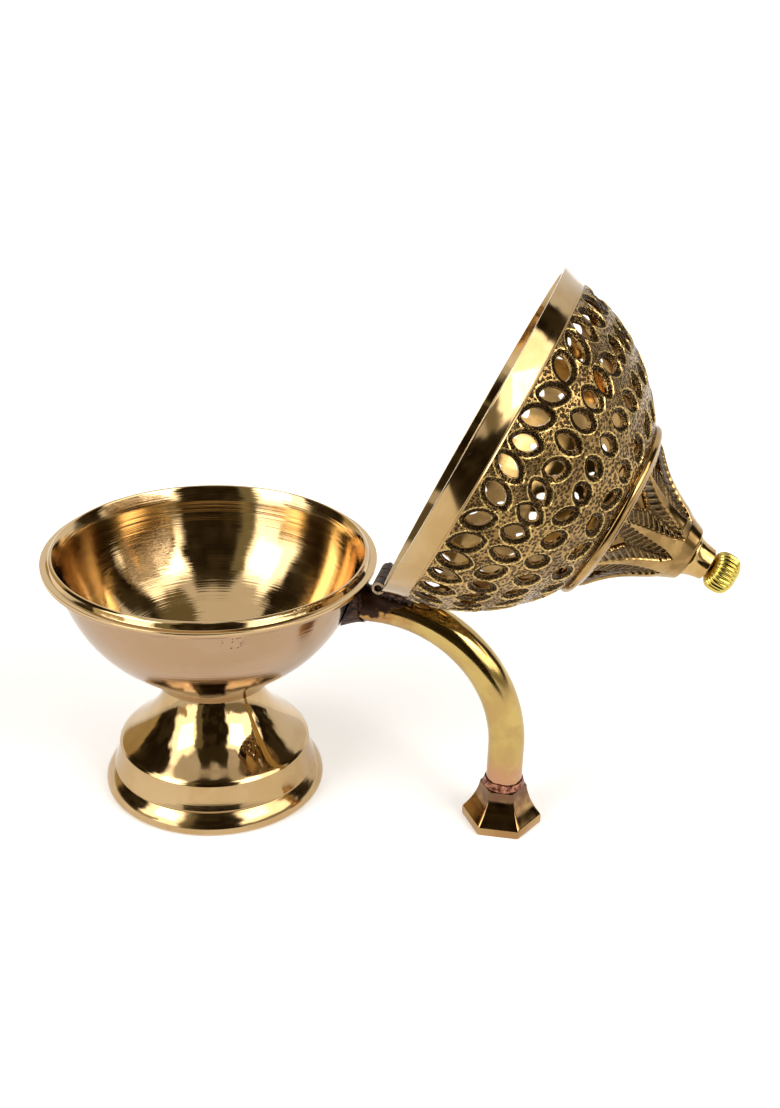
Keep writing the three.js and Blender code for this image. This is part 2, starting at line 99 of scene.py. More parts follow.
# %% Faces of a grid
def grid_quads(rows, columns, wrap_rows=False, wrap_columns=True):
    """Corner numbers of the cells of a grid. A wrapped side also joins its last line to its first."""
    r = np.arange(rows if wrap_rows else rows - 1)[:, None]
    c = np.arange(columns if wrap_columns else columns - 1)[None, :]
    r_next, c_next = (r + 1) % rows * columns, (c + 1) % columns
    r = r * columns
    return np.stack([r + c, r + c_next, r_next + c_next, r_next + c], -1).reshape(-1, 4)


def capped(grid, start, end):
    """Rows of a closed ring, and a fan of triangles from a middle point at either end."""
    rows, sides = grid.shape[:2]
    count, ring = rows * sides, np.arange(sides)
    last = ring + count - sides
    fans = [np.stack([np.full(sides, count), np.roll(ring, -1), ring], 1),
            np.stack([np.full(sides, count + 1), last, np.roll(last, -1)], 1)]
    return np.vstack([grid.reshape(-1, 3), start, end]), [grid_quads(rows, sides), *fans]


print("a grid of 3 by 4 has", len(grid_quads(3, 4)), "cells")

# %% [markdown]
# ## From faces to a piece
# One function writes points and faces into Blender, turns the faces outward by the sign of the
# enclosed volume, ties the piece to its body, gives it its material and hides the CAD node it
# stands in for. Each piece also keeps its upright place as an attribute called place. The
# materials read it, so that turning marks run round a piece's own axis although the lid lies open.


def enclosed(points, faces):
    """Signed volume: the sum over triangles of a . (b x c) / 6, with each quad as two triangles."""
    total = 0.0
    for corners in faces:
        for k in range(1, corners.shape[1] - 1):
            a, b, c = points[corners[:, 0]], points[corners[:, k]], points[corners[:, k + 1]]
            total += np.einsum("ij,ij->", a, np.cross(b, c)) / 6
    return total


def make_piece(name, shape, placing, body, node, material, slot, sharp=35, **attributes):
    """Writes points and faces as a closed mesh, placed in the row frame."""
    points, faces = shape
    placed = placing(points)
    if enclosed(placed, faces) < 0:
        faces = [corners[:, ::-1] for corners in faces]
    mesh = bpy.data.meshes.new(name)
    corner_lists = [face for corners in faces for face in corners.tolist()]
    mesh.from_pydata(placed.tolist(), [], corner_lists)
    for key, values in {"place": points, **attributes}.items():
        layer = mesh.attributes.new(key, "FLOAT_VECTOR", "POINT")
        layer.data.foreach_set("vector", np.asarray(values, np.float32).ravel())
    mesh.shade_smooth()
    mesh.set_sharp_from_angle(angle=math.radians(sharp))
    mesh.materials.append(material)
    piece = bpy.data.objects.new(name, mesh)
    bpy.context.scene.collection.objects.link(piece)
    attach(piece, body)
    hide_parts(node)


# %% [markdown]
# ## Outlines
# Turned parts begin as an outline of radius and height. Bezier curves give the long sweeps, and a
# smooth line through a few points gives the dome. Blender's own curve objects could do this too,
# but plain arrays can be measured, cut and offset before they become a mesh.

# %% Curves for outlines
def bezier(*controls, count=40):
    """Points on the curve of three or four control points, blended by the Bernstein weights."""
    t = np.linspace(0, 1, count)[:, None]
    degree = len(controls) - 1
    weights = [math.comb(degree, k) * t**k * (1 - t) ** (degree - k) for k in range(degree + 1)]
    return sum(w * np.array(c, float) for w, c in zip(weights, controls))


def distance_along(line):
    """How far each point of a line lies from its start, along the line."""
    return np.concatenate([[0], np.cumsum(np.linalg.norm(np.diff(line, axis=0), axis=1))])


def through(points, count):
    """Smooth curve through points: Hermite cubics whose slopes are the finite differences there."""
    p = np.array(points, float)
    t = distance_along(p)
    slope = np.gradient(p, t, axis=0, edge_order=2)
    u = np.linspace(0, t[-1], count)
    k = np.clip(np.searchsorted(t, u, side="right") - 1, 0, len(t) - 2)
    h = (t[k + 1] - t[k])[:, None]
    s = (u - t[k])[:, None] / h
    start = (2 * s**3 - 3 * s**2 + 1) * p[k] + (s**3 - 2 * s**2 + s) * h * slope[k]
    return start + (3 * s**2 - 2 * s**3) * p[k + 1] + (s**3 - s**2) * h * slope[k + 1]


def evenly(points, spacing):
    """The same line with its points one spacing apart along it."""
    p = np.asarray(points, float)
    gone = distance_along(p)
    at = np.linspace(0, gone[-1], max(2, round(gone[-1] / spacing) + 1))
    return np.stack([np.interp(at, gone, column) for column in p.T], 1)


print("a bezier of 5:", bezier((0, 0), (1, 2), (3, 3), count=5).round(2).tolist())

# %% [markdown]
# ## Corners and walls
# `soften` rounds each corner a little, because a polished edge is never sharp and it is the rounded
# edge that catches the light. `offset` moves a line sideways by a wall's thickness, which gives the
# inside of a casting from its outside.

# %% Soft corners and walls
def soften(points, radius=0.25, closed=True):
    """Each corner sharper than 15 degrees gives way to a small parabola that starts a radius away."""
    p = np.array(points, float)
    out = []
    for i, corner in enumerate(p):
        if not closed and i in (0, len(p) - 1):
            out.append(corner)
            continue
        before, after = p[i - 1] - corner, p[(i + 1) % len(p)] - corner
        a, b = np.linalg.norm(before), np.linalg.norm(after)
        if np.dot(before, after) < -math.cos(math.radians(15)) * a * b:
            out.append(corner)
            continue
        start = corner + before * min(radius, a * 0.45) / a
        end = corner + after * min(radius, b * 0.45) / b
        out.extend(bezier(start, corner, end, count=5))
    return np.array(out)


def offset(line, distance):
    """The line moved sideways by a distance, away from the axis where it runs upwards."""
    along = np.gradient(line, axis=0)
    along /= np.linalg.norm(along, axis=1)[:, None]
    return line + distance * np.stack([along[:, 1], -along[:, 0]], 1)


print("a softened square has", len(soften([[0, 0], [1, 0], [1, 1], [0, 1]])), "points")

# %% [markdown]
# ## Turning
# A lathe cuts every section to the same outline, so the mesh does the same: the outline is
# repeated at even angles round Z. The Screw modifier or the Spin tool would also do it. Here the
# points are wanted at once, because some pieces are bent or tilted after they are turned.

# %% Carrying an outline round
def around_z(angle, radius, height):
    """Points at a radius and height, with angle 0 towards -Y and a quarter turn towards +X."""
    return np.stack([radius * np.sin(angle), -radius * np.cos(angle), height + 0 * angle], -1)


def turned(outline, sides=240):
    """An outline of (radius, height) carried round the Z axis. Where it ends on the axis, each end
    is one point with a fan of triangles, and otherwise the outline is a closed ring."""
    line = np.asarray(outline, float)
    on_axis = line[0, 0] == 0
    ring = line[1:-1] if on_axis else line
    angle = np.arange(sides) * 2 * np.pi / sides
    grid = around_z(angle, ring[:, :1], ring[:, 1:])
    if on_axis:
        return capped(grid, [0, 0, line[0, 1]], [0, 0, line[-1, 1]])
    return grid.reshape(-1, 3), [grid_quads(len(ring), sides, wrap_rows=True)]


hoop, _ = turned([[1, 0], [2, 0], [2, 1], [1, 1]], sides=6)
print("a hoop turned from 4 corners with 6 sides has", len(hoop), "points")

# %% [markdown]
# ## Shared effects for the brasses
# Polished brass is mostly its reflections, so what separates one brass from another is small:
# rings left by the turning tool, clouds of tarnish, pits from the casting and dirt in the hollows.
# Each effect is one node group that puts out a mask or a height, and every material places it
# with its own numbers.

# %% Node helpers
def new_group(name, inputs, outputs):
    """An empty shader node group with named sockets. An input is (kind, name, default)."""
    tree = bpy.data.node_groups.new(name, "ShaderNodeTree")
    for kind, socket, default in inputs:
        made_socket = tree.interface.new_socket(socket, in_out="INPUT", socket_type="NodeSocket" + kind)
        if default is not None:
            made_socket.default_value = default
    for kind, socket in outputs:
        tree.interface.new_socket(socket, in_out="OUTPUT", socket_type="NodeSocket" + kind)
    return tree, tree.nodes.new("NodeGroupInput"), tree.nodes.new("NodeGroupOutput")


def feed(tree, value, socket):
    """Links a socket's output into another socket, or sets that socket to a number or colour."""
    if isinstance(value, bpy.types.NodeSocket):
        tree.links.new(value, socket)
    else:
        socket.default_value = value


def node(tree, kind, inputs=None, **settings):
    """A node with its settings and inputs. An input is a number, a colour or another socket."""
    n = tree.nodes.new(kind)
    for key, value in settings.items():
        setattr(n, key, value)
    for key, value in (inputs or {}).items():
        feed(tree, value, n.inputs[key])
    return n


print("group and node helpers ready")

# %% [markdown]
# ## Sums and mixes
# Most of a material is arithmetic on masks. These helpers each add one node and hand back its
# output, so that a formula reads almost like the sum it stands for. The same nodes could be placed
# and wired by hand in the shader editor.

# %% Sums, ranges and mixes
def maths(tree, operation, a, b=0.0, c=0.0):
    """One sum of the Math node."""
    return node(tree, "ShaderNodeMath", {0: a, 1: b, 2: c}, operation=operation).outputs[0]


def times(tree, a, b):
    """A product, which for masks of 0 to 1 means both at once."""
    return maths(tree, "MULTIPLY", a, b)


def between(tree, value, low, high, to_low=0.0, to_high=1.0):
    """The value carried smoothly from one range to another, and held at its ends."""
    sizes = {"Value": value, "From Min": low, "From Max": high, "To Min": to_low, "To Max": to_high}
    return node(tree, "ShaderNodeMapRange", sizes, interpolation_type="SMOOTHSTEP").outputs[0]


def mix_value(tree, share, a, b):
    """A number between a and b."""
    return node(tree, "ShaderNodeMix", {0: share, 2: a, 3: b}, data_type="FLOAT").outputs[0]


def mix(tree, share, a, b):
    """A colour between a and b. The Mix node keeps its colour sockets at 6, 7 and 2."""
    return node(tree, "ShaderNodeMix", {0: share, 6: a, 7: b}, data_type="RGBA").outputs[2]


print("sums and mixes ready")

# %% [markdown]
# ## Turning marks
# A lathe tool leaves fine rings that draw the light into arcs. A noise that has only one input
# number makes rings when that number is the distance along the outline. Wave textures would also
# make rings, but evenly spaced ones, which look machine-ruled.

# %% Rings left by the turning tool
def ring_group():
    """Height and streak from noise that changes only with the distance along the outline:
    radius plus height stand for it, so that the marks close into rings."""
    inputs = [("Vector", "Place", None), ("Float", "Marks per mm", 3.0)]
    tree, given, result = new_group("turning_rings", inputs, [("Float", "Height"), ("Float", "Streak")])
    axes = node(tree, "ShaderNodeSeparateXYZ", {0: given.outputs["Place"]}).outputs
    flat = node(tree, "ShaderNodeCombineXYZ", {0: axes[0], 1: axes[1]}).outputs[0]
    radius = node(tree, "ShaderNodeVectorMath", {0: flat}, operation="LENGTH").outputs["Value"]
    along = maths(tree, "MULTIPLY_ADD", radius, 1.37, axes[2])
    along = times(tree, along, given.outputs["Marks per mm"])
    settings = {"W": along, "Scale": 1.0, "Detail": 3.0}
    fine = node(tree, "ShaderNodeTexNoise", settings, noise_dimensions="1D")
    settings = {"W": along, "Scale": 0.17, "Detail": 2.0}
    broad = node(tree, "ShaderNodeTexNoise", settings, noise_dimensions="1D")
    tree.links.new(fine.outputs[0], result.inputs["Height"])
    streak = between(tree, broad.outputs[0], 0.35, 0.7)
    tree.links.new(streak, result.inputs["Streak"])
    return tree


rings = ring_group()
print("group", rings.name)

# %% [markdown]
# ## Tarnish
# Tarnish gathers in soft blotches with finer ones inside them. Noise at two sizes gives both, and
# the cover decides how much of the metal they take. Pictures of stains would do it too, but they
# need unwrapping and a file.

# %% Clouds of tarnish
def cloud_group():
    """A soft mask of blotches: two sizes of noise in space, added and pushed apart."""
    inputs = [("Vector", "Place", None), ("Float", "Scale", 0.12), ("Float", "Cover", 0.5)]
    tree, given, result = new_group("tarnish_clouds", inputs, [("Float", "Mask"), ("Float", "Fine")])
    settings = {"Vector": given.outputs["Place"], "Scale": given.outputs["Scale"], "Detail": 5.0,
                "Roughness": 0.6, "Distortion": 0.4}
    broad = node(tree, "ShaderNodeTexNoise", settings).outputs[0]
    fine = node(tree, "ShaderNodeTexNoise", {**settings, "Scale": 1.7, "Distortion": 0.0}).outputs[0]
    edge = maths(tree, "SUBTRACT", 0.72, times(tree, given.outputs["Cover"], 0.44))
    mask = maths(tree, "SUBTRACT", broad, edge)
    mask = between(tree, mask, -0.12, 0.12)
    tree.links.new(mask, result.inputs["Mask"])
    tree.links.new(fine, result.inputs["Fine"])
    return tree


clouds = cloud_group()
print("group", clouds.name)

# %% [markdown]
# ## Pits and punch marks
# Castings keep small round holes, and a punch leaves round dents. Cell noise gives both: near each
# cell's middle the surface is dented, and a share of the cells is left out, so that the pits don't
# form a grid.

# %% Pits
def pit_group():
    """Round dents: a dent where the distance to the nearest cell point is under a radius, with
    only the cells whose random colour passes the share. Cell sizes are in millimetres."""
    inputs = [("Vector", "Place", None), ("Float", "Cell", 1.0)]
    inputs += [("Float", "Radius", 0.4), ("Float", "Share", 1.0)]
    tree, given, result = new_group("pits", inputs, [("Float", "Mask"), ("Float", "Height")])
    scale = maths(tree, "DIVIDE", 1.0, given.outputs["Cell"])
    settings = {"Vector": given.outputs["Place"], "Scale": scale, "Randomness": 0.7}
    cells = node(tree, "ShaderNodeTexVoronoi", settings)
    reach = maths(tree, "DIVIDE", cells.outputs["Distance"], given.outputs["Radius"])
    dent = between(tree, reach, 0.55, 1.15, 1.0, 0.0)
    pick = node(tree, "ShaderNodeSeparateColor", {0: cells.outputs["Color"]}).outputs[0]
    chosen = maths(tree, "LESS_THAN", pick, given.outputs["Share"])
    mask = times(tree, dent, chosen)
    tree.links.new(mask, result.inputs["Mask"])
    tree.links.new(maths(tree, "SUBTRACT", 1.0, mask), result.inputs["Height"])
    return tree


pits = pit_group()
print("group", pits.name)

# %% [markdown]
# ## The brasses
# Base colours are measured in linear light. Cast brass with a little zinc is pinkish tan, drawn
# tube is yellower and the knob is almost lemon. Around the brazing the metal is scorched brown.
# Metallic stays at 1 except where soot or oxide covers the metal.

# %% A material and its parts
def linear(r, g, b):
    """A screen colour of 0 to 255 as linear light."""
    c = np.array([r, g, b]) / 255
    return (*np.where(c <= 0.04045, c / 12.92, ((c + 0.055) / 1.055) ** 2.4), 1.0)


def new_material(name, metallic=1.0):
    """A material with only its output and its Principled shader, and the tree to add to."""
    material = bpy.data.materials.new(name)
    material.use_nodes = True
    tree = material.node_tree
    shader = tree.nodes["Principled BSDF"]
    shader.inputs["Metallic"].default_value = metallic
    return material, tree, shader


def group(tree, group_tree, **inputs):
    """A shared effect placed in a material, and its outputs. An underscore stands for a space."""
    n = tree.nodes.new("ShaderNodeGroup")
    n.node_tree = group_tree
    for key, value in inputs.items():
        feed(tree, value, n.inputs[key.replace("_", " ")])
    return n.outputs


print("tan brass", [round(v, 3) for v in linear(222, 184, 150)])

# %% [markdown]
# ## Placing the effects
# Every material follows one order: it reads the piece's place, lets the shared effects make masks
# from it, and wires the last colour, roughness and bump into the shader. The helpers for these steps
# are short, and they keep the materials below down to what is special about each metal.

# %% Place, effects and the shader
def place_of(tree):
    """The piece's upright place in millimetres, from its own attribute."""
    return node(tree, "ShaderNodeAttribute", attribute_name="place").outputs["Vector"]


def bump(tree, height, distance, normal=None):
    """A dent or ridge of a distance in metres where the height is 1."""
    n = node(tree, "ShaderNodeBump", {"Height": height, "Distance": distance})
    if normal is not None:
        tree.links.new(normal, n.inputs["Normal"])
    return n.outputs[0]


def finish(tree, shader, colour, roughness, normal):
    """Wires the last colour, roughness and normal into the shader."""
    for key, value in {"Base Color": colour, "Roughness": roughness, "Normal": normal}.items():
        feed(tree, value, shader.inputs[key])


print("material helpers ready")

# %% [markdown]
# ## Turned brass
# The foot, bowl, rim band, collar and bell are one metal with different handling. A polished metal
# is a Metallic of 1 with a low Roughness. One function builds the material from the shared effects,
# and each piece gets its own colour, so that the pieces read as separately made.

# %% Turned and polished brass
def polished_brass(name, colour, tarnish, roughness, marks=2.2, ring_depth=2e-6, pit_share=0.0):
    """Turned brass: rings as a very shallow bump and as streaks of roughness, tarnish clouds as a
    second colour, and a few casting pits."""
    material, tree, shader = new_material(name)
    place = place_of(tree)
    ring = group(tree, rings, Place=place, Marks_per_mm=marks)
    cloud = group(tree, clouds, Place=place, Scale=0.06, Cover=0.5)
    pit = group(tree, pits, Place=place, Cell=5.0, Radius=0.055, Share=pit_share)
    tint = mix(tree, times(tree, cloud["Mask"], 0.55), colour, tarnish)
    tint = mix(tree, times(tree, ring["Streak"], 0.12), tint, tarnish)
    tint = mix(tree, pit["Mask"], tint, linear(60, 38, 22))
    rough = maths(tree, "MULTIPLY_ADD", ring["Streak"], 0.06, roughness)
    rough = maths(tree, "MULTIPLY_ADD", cloud["Mask"], 0.05, rough)
    normal = bump(tree, ring["Height"], ring_depth)
    normal = bump(tree, pit["Height"], 2e-4, normal=normal)
    finish(tree, shader, tint, rough, normal)
    return material


foot_brass = polished_brass("foot_brass", linear(190, 162, 120), linear(174, 142, 94), 0.035, marks=0.9,
                            ring_depth=1.2e-5, pit_share=0.03)
bowl_brass = polished_brass("bowl_brass", linear(171, 143, 115), linear(164, 133, 100), 0.04, marks=0.9,
                            ring_depth=3.5e-5, pit_share=0.05)
band_brass = polished_brass("rim_band_brass", linear(186, 158, 114), linear(170, 136, 84), 0.05,
                            marks=1.2)
collar_brass = polished_brass("collar_brass", linear(196, 166, 110), linear(170, 130, 72), 0.05)
bell_brass = polished_brass("bell_brass", linear(180, 146, 98), linear(146, 106, 64), 0.05,
                            ring_depth=1e-6, pit_share=0.08)
print("turned brasses:", [m.name for m in (foot_brass, bowl_brass, band_brass, collar_brass, bell_brass)])

# %% [markdown]
# ## Colour laid over a finished brass
# Some colour belongs to a place and not to the metal. The torch left a copper bloom on the tube
# and a dark one on its foot. The inside of the bowl is painted a brighter, purer gold than its
# outside, a painted reflection of the light the cup throws back into itself. One function mixes
# such a colour over whatever a material already has, where a mask says so.
# Vertex painting could do the same, but a mask made of nodes stays sharp at any distance.

# %% Stains by height and by attribute
def stain(material, mask, share, colour):
    """Mixes a colour over a material's own base colour, by a share where the mask is 1."""
    tree = material.node_tree
    base = tree.nodes["Principled BSDF"].inputs["Base Color"]
    share = times(tree, mask, share)
    tree.links.new(mix(tree, share, base.links[0].from_socket, colour), base)


def by_height(material, none, full):
    """A mask that grows from none to full between two heights, with an edge that wanders."""
    tree = material.node_tree
    place = place_of(tree)
    height = node(tree, "ShaderNodeSeparateXYZ", {0: place}).outputs[2]
    flame = node(tree, "ShaderNodeTexNoise", {"Vector": place, "Scale": 0.35, "Detail": 4.0}).outputs[0]
    height = maths(tree, "MULTIPLY_ADD", maths(tree, "SUBTRACT", flame, 0.5), 14.0, height)
    return between(tree, height, min(none, full), max(none, full), float(none > full), float(none < full))


stain(bell_brass, by_height(bell_brass, 4.0, 13.0), 0.8, linear(88, 58, 50))
# Painted reflection: the inside of the cup is mixed towards a brighter gold, which stands in for the
# light the cup reflects into itself.
cup_painted_reflection = node(bowl_brass.node_tree, "ShaderNodeAttribute", attribute_name="inside").outputs["Fac"]
stain(bowl_brass, cup_painted_reflection, 0.85, linear(208, 178, 129))
print("stained:", bell_brass.name, bowl_brass.name)

# %% [markdown]
# ## A patch of pits
# Under the bowl's rim there is one small group of dark pits. It is the shared effect of pits, thick
# in the middle of the patch and gone at its edge, and it is laid over the bowl's colour like a stain.

# %% Pits under the rim
def pit_patch(material, middle, reach):
    """A mask of small pits that are thick at a place on the piece and gone a reach away from it."""
    tree = material.node_tree
    place = place_of(tree)
    apart = node(tree, "ShaderNodeVectorMath", {0: place, 1: middle}, operation="DISTANCE")
    near = between(tree, apart.outputs["Value"], reach * 0.3, reach, 1.0, 0.0)
    pit = group(tree, pits, Place=place, Cell=0.9, Radius=0.4, Share=0.55)
    return times(tree, pit["Mask"], near)


patch = pit_patch(bowl_brass, middle=(20.8, -41.4, 74.0), reach=5.0)
stain(bowl_brass, patch, 0.8, linear(70, 44, 26))
print("pits on", bowl_brass.name)

# %% [markdown]
# ## The pedestal
# The foot is one hollow casting: a rounded ring on the ground, a slightly hollowed band, a crisp
# edge, and a cone that sweeps up to the neck. Blender's Spin tool would turn it, but a profile
# carried round with numpy gives exact radii, so its outline repeats the CAD one and runs on
# through the inside.

# %% Pedestal casting
PEDESTAL_TOP = 37.0
STUD_HOLE = 2.7


def pedestal_outline():
    """Ring, band and cone up the outside, then the top, the stud's hole and the hollow inside."""
    ring = bezier((33.5, 0), (36.6, 0.8), (34.7, 4.4), (32, 7), count=30)
    band = bezier((32.3, 7.4), (30.9, 11.2), (30.3, 15.4), count=24)
    cone = bezier((30, 15.8), (28.9, 18), (18.4, 23), (14.5, 35.8), count=50)
    hollow = offset(cone, -2.2)
    hollow = hollow[hollow[:, 1] < 33][::-1]
    top = [[14.2, PEDESTAL_TOP], [STUD_HOLE, PEDESTAL_TOP], [STUD_HOLE, 34], [hollow[0, 0] - 0.6, 34]]
    return soften(np.vstack([ring, band, cone, top, hollow, [[31, 0]]]), 0.3)


make_piece("pedestal_casting", turned(pedestal_outline(), 256), on_stand, "stand", "pedestal",
           foot_brass, "polished_brass")

# %% [markdown]
# ## The bowl
# A turned shell with a flange, and a tapered lip that the lid drops over. The side is one curve
# from the foot facet to the rim, and the inside is the same curve moved in by the wall.

# %% Bowl shell
BOWL_BASE = PEDESTAL_TOP + 0.3
BOWL_WALL = 1.9
bowl_side = bezier((21.3, 41.3), (27.2, 47.3), (41.4, 52.3), (47.4, 78.4), count=70)


def bowl_outline():
    """Base, facet and side up the outside, the flange, the lip, and down the inside to the floor."""
    cup = offset(bowl_side, -BOWL_WALL)
    cup = cup[cup[:, 1] > 43][::-1]
    floor = bezier(cup[-1], (cup[-1, 0] - 2.2, 41.6), (12, 41.5), count=12)[1:]
    outer = np.vstack([
        [[0, 40.3], [STUD_HOLE, 40.3], [STUD_HOLE, BOWL_BASE], [14.4, BOWL_BASE], [18.2, 37.7]],
        bowl_side,
        [[50.5, 78.4], [51, 78.9], [51, 80.2], [49.1, 80.2], [48.5, 81.7], [47.9, 82.3], [47.4, 82.3]],
        cup,
        floor,
        [[0, 41.5]],
    ])
    return soften(outer, 0.22, closed=False)


def bowl_radius_at(height):
    """The bowl's outside radius at a height, by looking along its side."""
    return np.interp(height, bowl_side[:, 1], bowl_side[:, 0])


def inside_cup(points):
    """1 for points above the floor and more than half a wall in from the side, and for those over
    the flange, 0 elsewhere."""
    radius, height = np.hypot(points[:, 0], points[:, 1]), points[:, 2]
    inner = (radius < bowl_radius_at(height) - BOWL_WALL / 2) & (height > 41.4) | (height > 79.4)
    return np.repeat(inner[:, None], 3, 1)


bowl = turned(bowl_outline(), 256)
# The attribute inside marks where the bowl's brass gets its painted reflection.
make_piece("bowl_shell", bowl, on_stand, "stand", "bowl", bowl_brass, "polished_brass",
           inside=inside_cup(bowl[0]))

# %% [markdown]
# ## The handle
# The handle is a drawn tube. It leaves the bowl level, arches over and drops straight into its
# foot. A tube is a circle carried along a path: here the path is a level line, a quarter of an
# ellipse and a plumb line, and the first circle is cut to the bowl's side.

# %% Handle tube
TUBE = 5.6
HANDLE_TOP = 70.3
ARCH_START = 52.6
ARCH_WIDTH, ARCH_HEIGHT = 42.0, 43.5
LEG_X = ARCH_START + ARCH_WIDTH
LEG_TOP = HANDLE_TOP - ARCH_HEIGHT
TUBE_END = 4.8


def tube_ring(radius, angle):
    """Circles of a radius along the handle. Each has its middle on the path, and lies in the plane
    square to it; angle 0 is the outside of the bend and a quarter turn is towards -Y."""
    up, side = radius * np.cos(angle), -radius * np.sin(angle)
    start = np.sqrt(bowl_radius_at(HANDLE_TOP + up) ** 2 - side**2) + 0.35
    share = np.linspace(0, 1, 16)[:-1, None]
    level = [start + share * (ARCH_START - start), side + 0 * share, HANDLE_TOP + up + 0 * share]
    t = np.linspace(0, np.pi / 2, 120)[:, None]
    length = np.hypot(ARCH_WIDTH * np.cos(t), ARCH_HEIGHT * np.sin(t))
    out_x, out_z = ARCH_HEIGHT * np.sin(t) / length, ARCH_WIDTH * np.cos(t) / length
    arch = [ARCH_START + ARCH_WIDTH * np.sin(t) + up * out_x, side + 0 * t,
            LEG_TOP + ARCH_HEIGHT * np.cos(t) + up * out_z]
    drop = np.linspace(LEG_TOP, TUBE_END, 24)[1:, None]
    leg = [LEG_X + up + 0 * drop, side + 0 * drop, drop + 0 * up]
    return np.vstack([np.stack(part, -1) for part in (level, arch, leg)])


def tube_shape(sides=96):
    """The outer and inner surfaces of the tube, joined into one closed skin at both ends."""
    angle = np.arange(sides) * 2 * np.pi / sides
    skin = np.vstack([tube_ring(TUBE, angle), tube_ring(TUBE - 1, angle)[::-1]])
    return skin.reshape(-1, 3), [grid_quads(len(skin), sides, wrap_rows=True)]


print("the leg stands", round(LEG_X, 1), "mm from the bowl's axis")

# %% [markdown]
# ## The tube's metal
# Drawn tube is yellower than cast brass. The torch has blackened it from the bowl outwards, further
# along the top, where the hinge was brazed on, than underneath. A limit on the distance from the
# bowl, shifted by noise, gives the scorch its crisp and uneven edge, with a brown halo past it.

# %% Brass of the tube
def tube_brass():
    """Yellow drawn brass. Scorch darkens it from the bowl along the top and stops sooner below."""
    material, tree, shader = new_material("tube_brass")
    place = place_of(tree)
    cloud = group(tree, clouds, Place=place, Scale=0.09, Cover=0.45)
    axes = node(tree, "ShaderNodeSeparateXYZ", {0: place}).outputs
    under = times(tree, maths(tree, "SUBTRACT", HANDLE_TOP, axes[2]), 1.9)
    reach = maths(tree, "ADD", axes[0], under)
    flame = node(tree, "ShaderNodeTexNoise", {"Vector": place, "Scale": 0.3, "Detail": 3.0}).outputs[0]
    edge = maths(tree, "MULTIPLY_ADD", maths(tree, "SUBTRACT", flame, 0.5), 26.0, reach)
    scorch = between(tree, edge, 54.0, 58.0, 1.0, 0.0)
    halo = between(tree, edge, 56.0, 72.0, 1.0, 0.0)
    tarnish = times(tree, cloud["Mask"], 0.5)
    tint = mix(tree, tarnish, linear(190, 164, 100), linear(168, 134, 86))
    tint = mix(tree, times(tree, halo, 0.6), tint, linear(150, 92, 52))
    tint = mix(tree, scorch, tint, linear(56, 40, 32))
    rough = maths(tree, "MULTIPLY_ADD", cloud["Mask"], 0.05, 0.1)
    rough = maths(tree, "MULTIPLY_ADD", scorch, 0.3, rough)
    finish(tree, shader, tint, rough, bump(tree, cloud["Fine"], 1.2e-5))
    return material


yellow_tube = tube_brass()
stain(yellow_tube, by_height(yellow_tube, 27.0, 15.0), 0.75, linear(186, 132, 112))
make_piece("handle_pipe", tube_shape(), on_stand, "stand", "handle_tube", yellow_tube, "yellow_brass")

# %% [markdown]
# ## The handle's foot
# A cast bell with six hollowed faces. Its plan is a hexagon with slightly rounded corners, which
# has a neat formula: add the directions' cosines to the six faces, each to a high power. Going up,
# that plan shrinks along a curve, so the faces hollow and the creases stay crisp.

# %% Six-sided foot
FOOT_TURN = math.radians(3.5)
FOOT_HEIGHT = 13.5
SOCKET = 5.9
SOCKET_FLOOR = 4.5


def hexagon(angle, corner_radius, crispness=70.0):
    """Radius of a rounded hexagon: its apothem over the power mean of the six faces' cosines."""
    faces = FOOT_TURN + math.pi / 6 + np.arange(6)[:, None] * math.pi / 3
    facing = np.maximum(np.cos(angle - faces), 1e-3) ** crispness
    return corner_radius * math.cos(math.pi / 6) / facing.sum(0) ** (1 / crispness)


def bell_shape(sides=288):
    """Rows of hexagons up the outside, closing on a round socket that goes down inside."""
    angle = np.arange(sides) * 2 * np.pi / sides
    side = bezier((12.6, 2.8), (8.0, 8.25), (7.39, 13.2), count=40)
    rows = np.vstack([[[0.4, 0], [12.2, 0], [12.5, 0.12], [12.6, 0.4], [12.6, 2.55], [12.52, 2.75]],
                      side[1:], [[7.25, 13.45], [7.0, FOOT_HEIGHT]]])
    radius = np.stack([hexagon(angle, r) for r, _ in rows])
    height = rows[:, 1:] + 0 * angle
    inner = np.array([[SOCKET, FOOT_HEIGHT - 0.02], [SOCKET, SOCKET_FLOOR], [0.4, SOCKET_FLOOR]])
    radius = np.vstack([radius, inner[:, :1] + 0 * angle])
    height = np.vstack([height, inner[:, 1:] + 0 * angle])
    grid = np.stack([radius * np.cos(angle), radius * np.sin(angle), height], -1)
    return capped(grid, [0, 0, 0], [0, 0, SOCKET_FLOOR])


def at_the_leg(points):
    """Millimetres about the handle's leg, above the floor."""
    return on_stand(points + [LEG_X, 0, 0])


make_piece("foot_bell", bell_shape(), at_the_leg, "stand", "handle_foot", bell_brass, "polished_brass",
           sharp=50)

# %% [markdown]
# ## Braze and scorched metal
# The joints were made with a torch. The braze is copper coloured at the foot, and there is black
# scale around the hinge. Both are one rough material with two sets of colours: lumpy noise as
# bump, pits, and a darker colour in clouds.

# %% Materials of the braze
def rough_braze(name, light, dark, metallic, roughness, grain):
    """Run and cooled metal: lumpy noise as bump, and two colours by its clouds."""
    material, tree, shader = new_material(name, metallic)
    place = place_of(tree)
    cloud = group(tree, clouds, Place=place, Scale=0.6, Cover=0.5)
    pit = group(tree, pits, Place=place, Cell=grain, Radius=0.4, Share=0.5)
    tint = mix(tree, cloud["Mask"], light, dark)
    tint = mix(tree, times(tree, pit["Mask"], 0.5), tint, dark)
    rough = maths(tree, "MULTIPLY_ADD", cloud["Fine"], 0.3, roughness - 0.15)
    normal = bump(tree, cloud["Fine"], 6e-4)
    finish(tree, shader, tint, rough, bump(tree, pit["Height"], 1e-4, normal=normal))
    return material


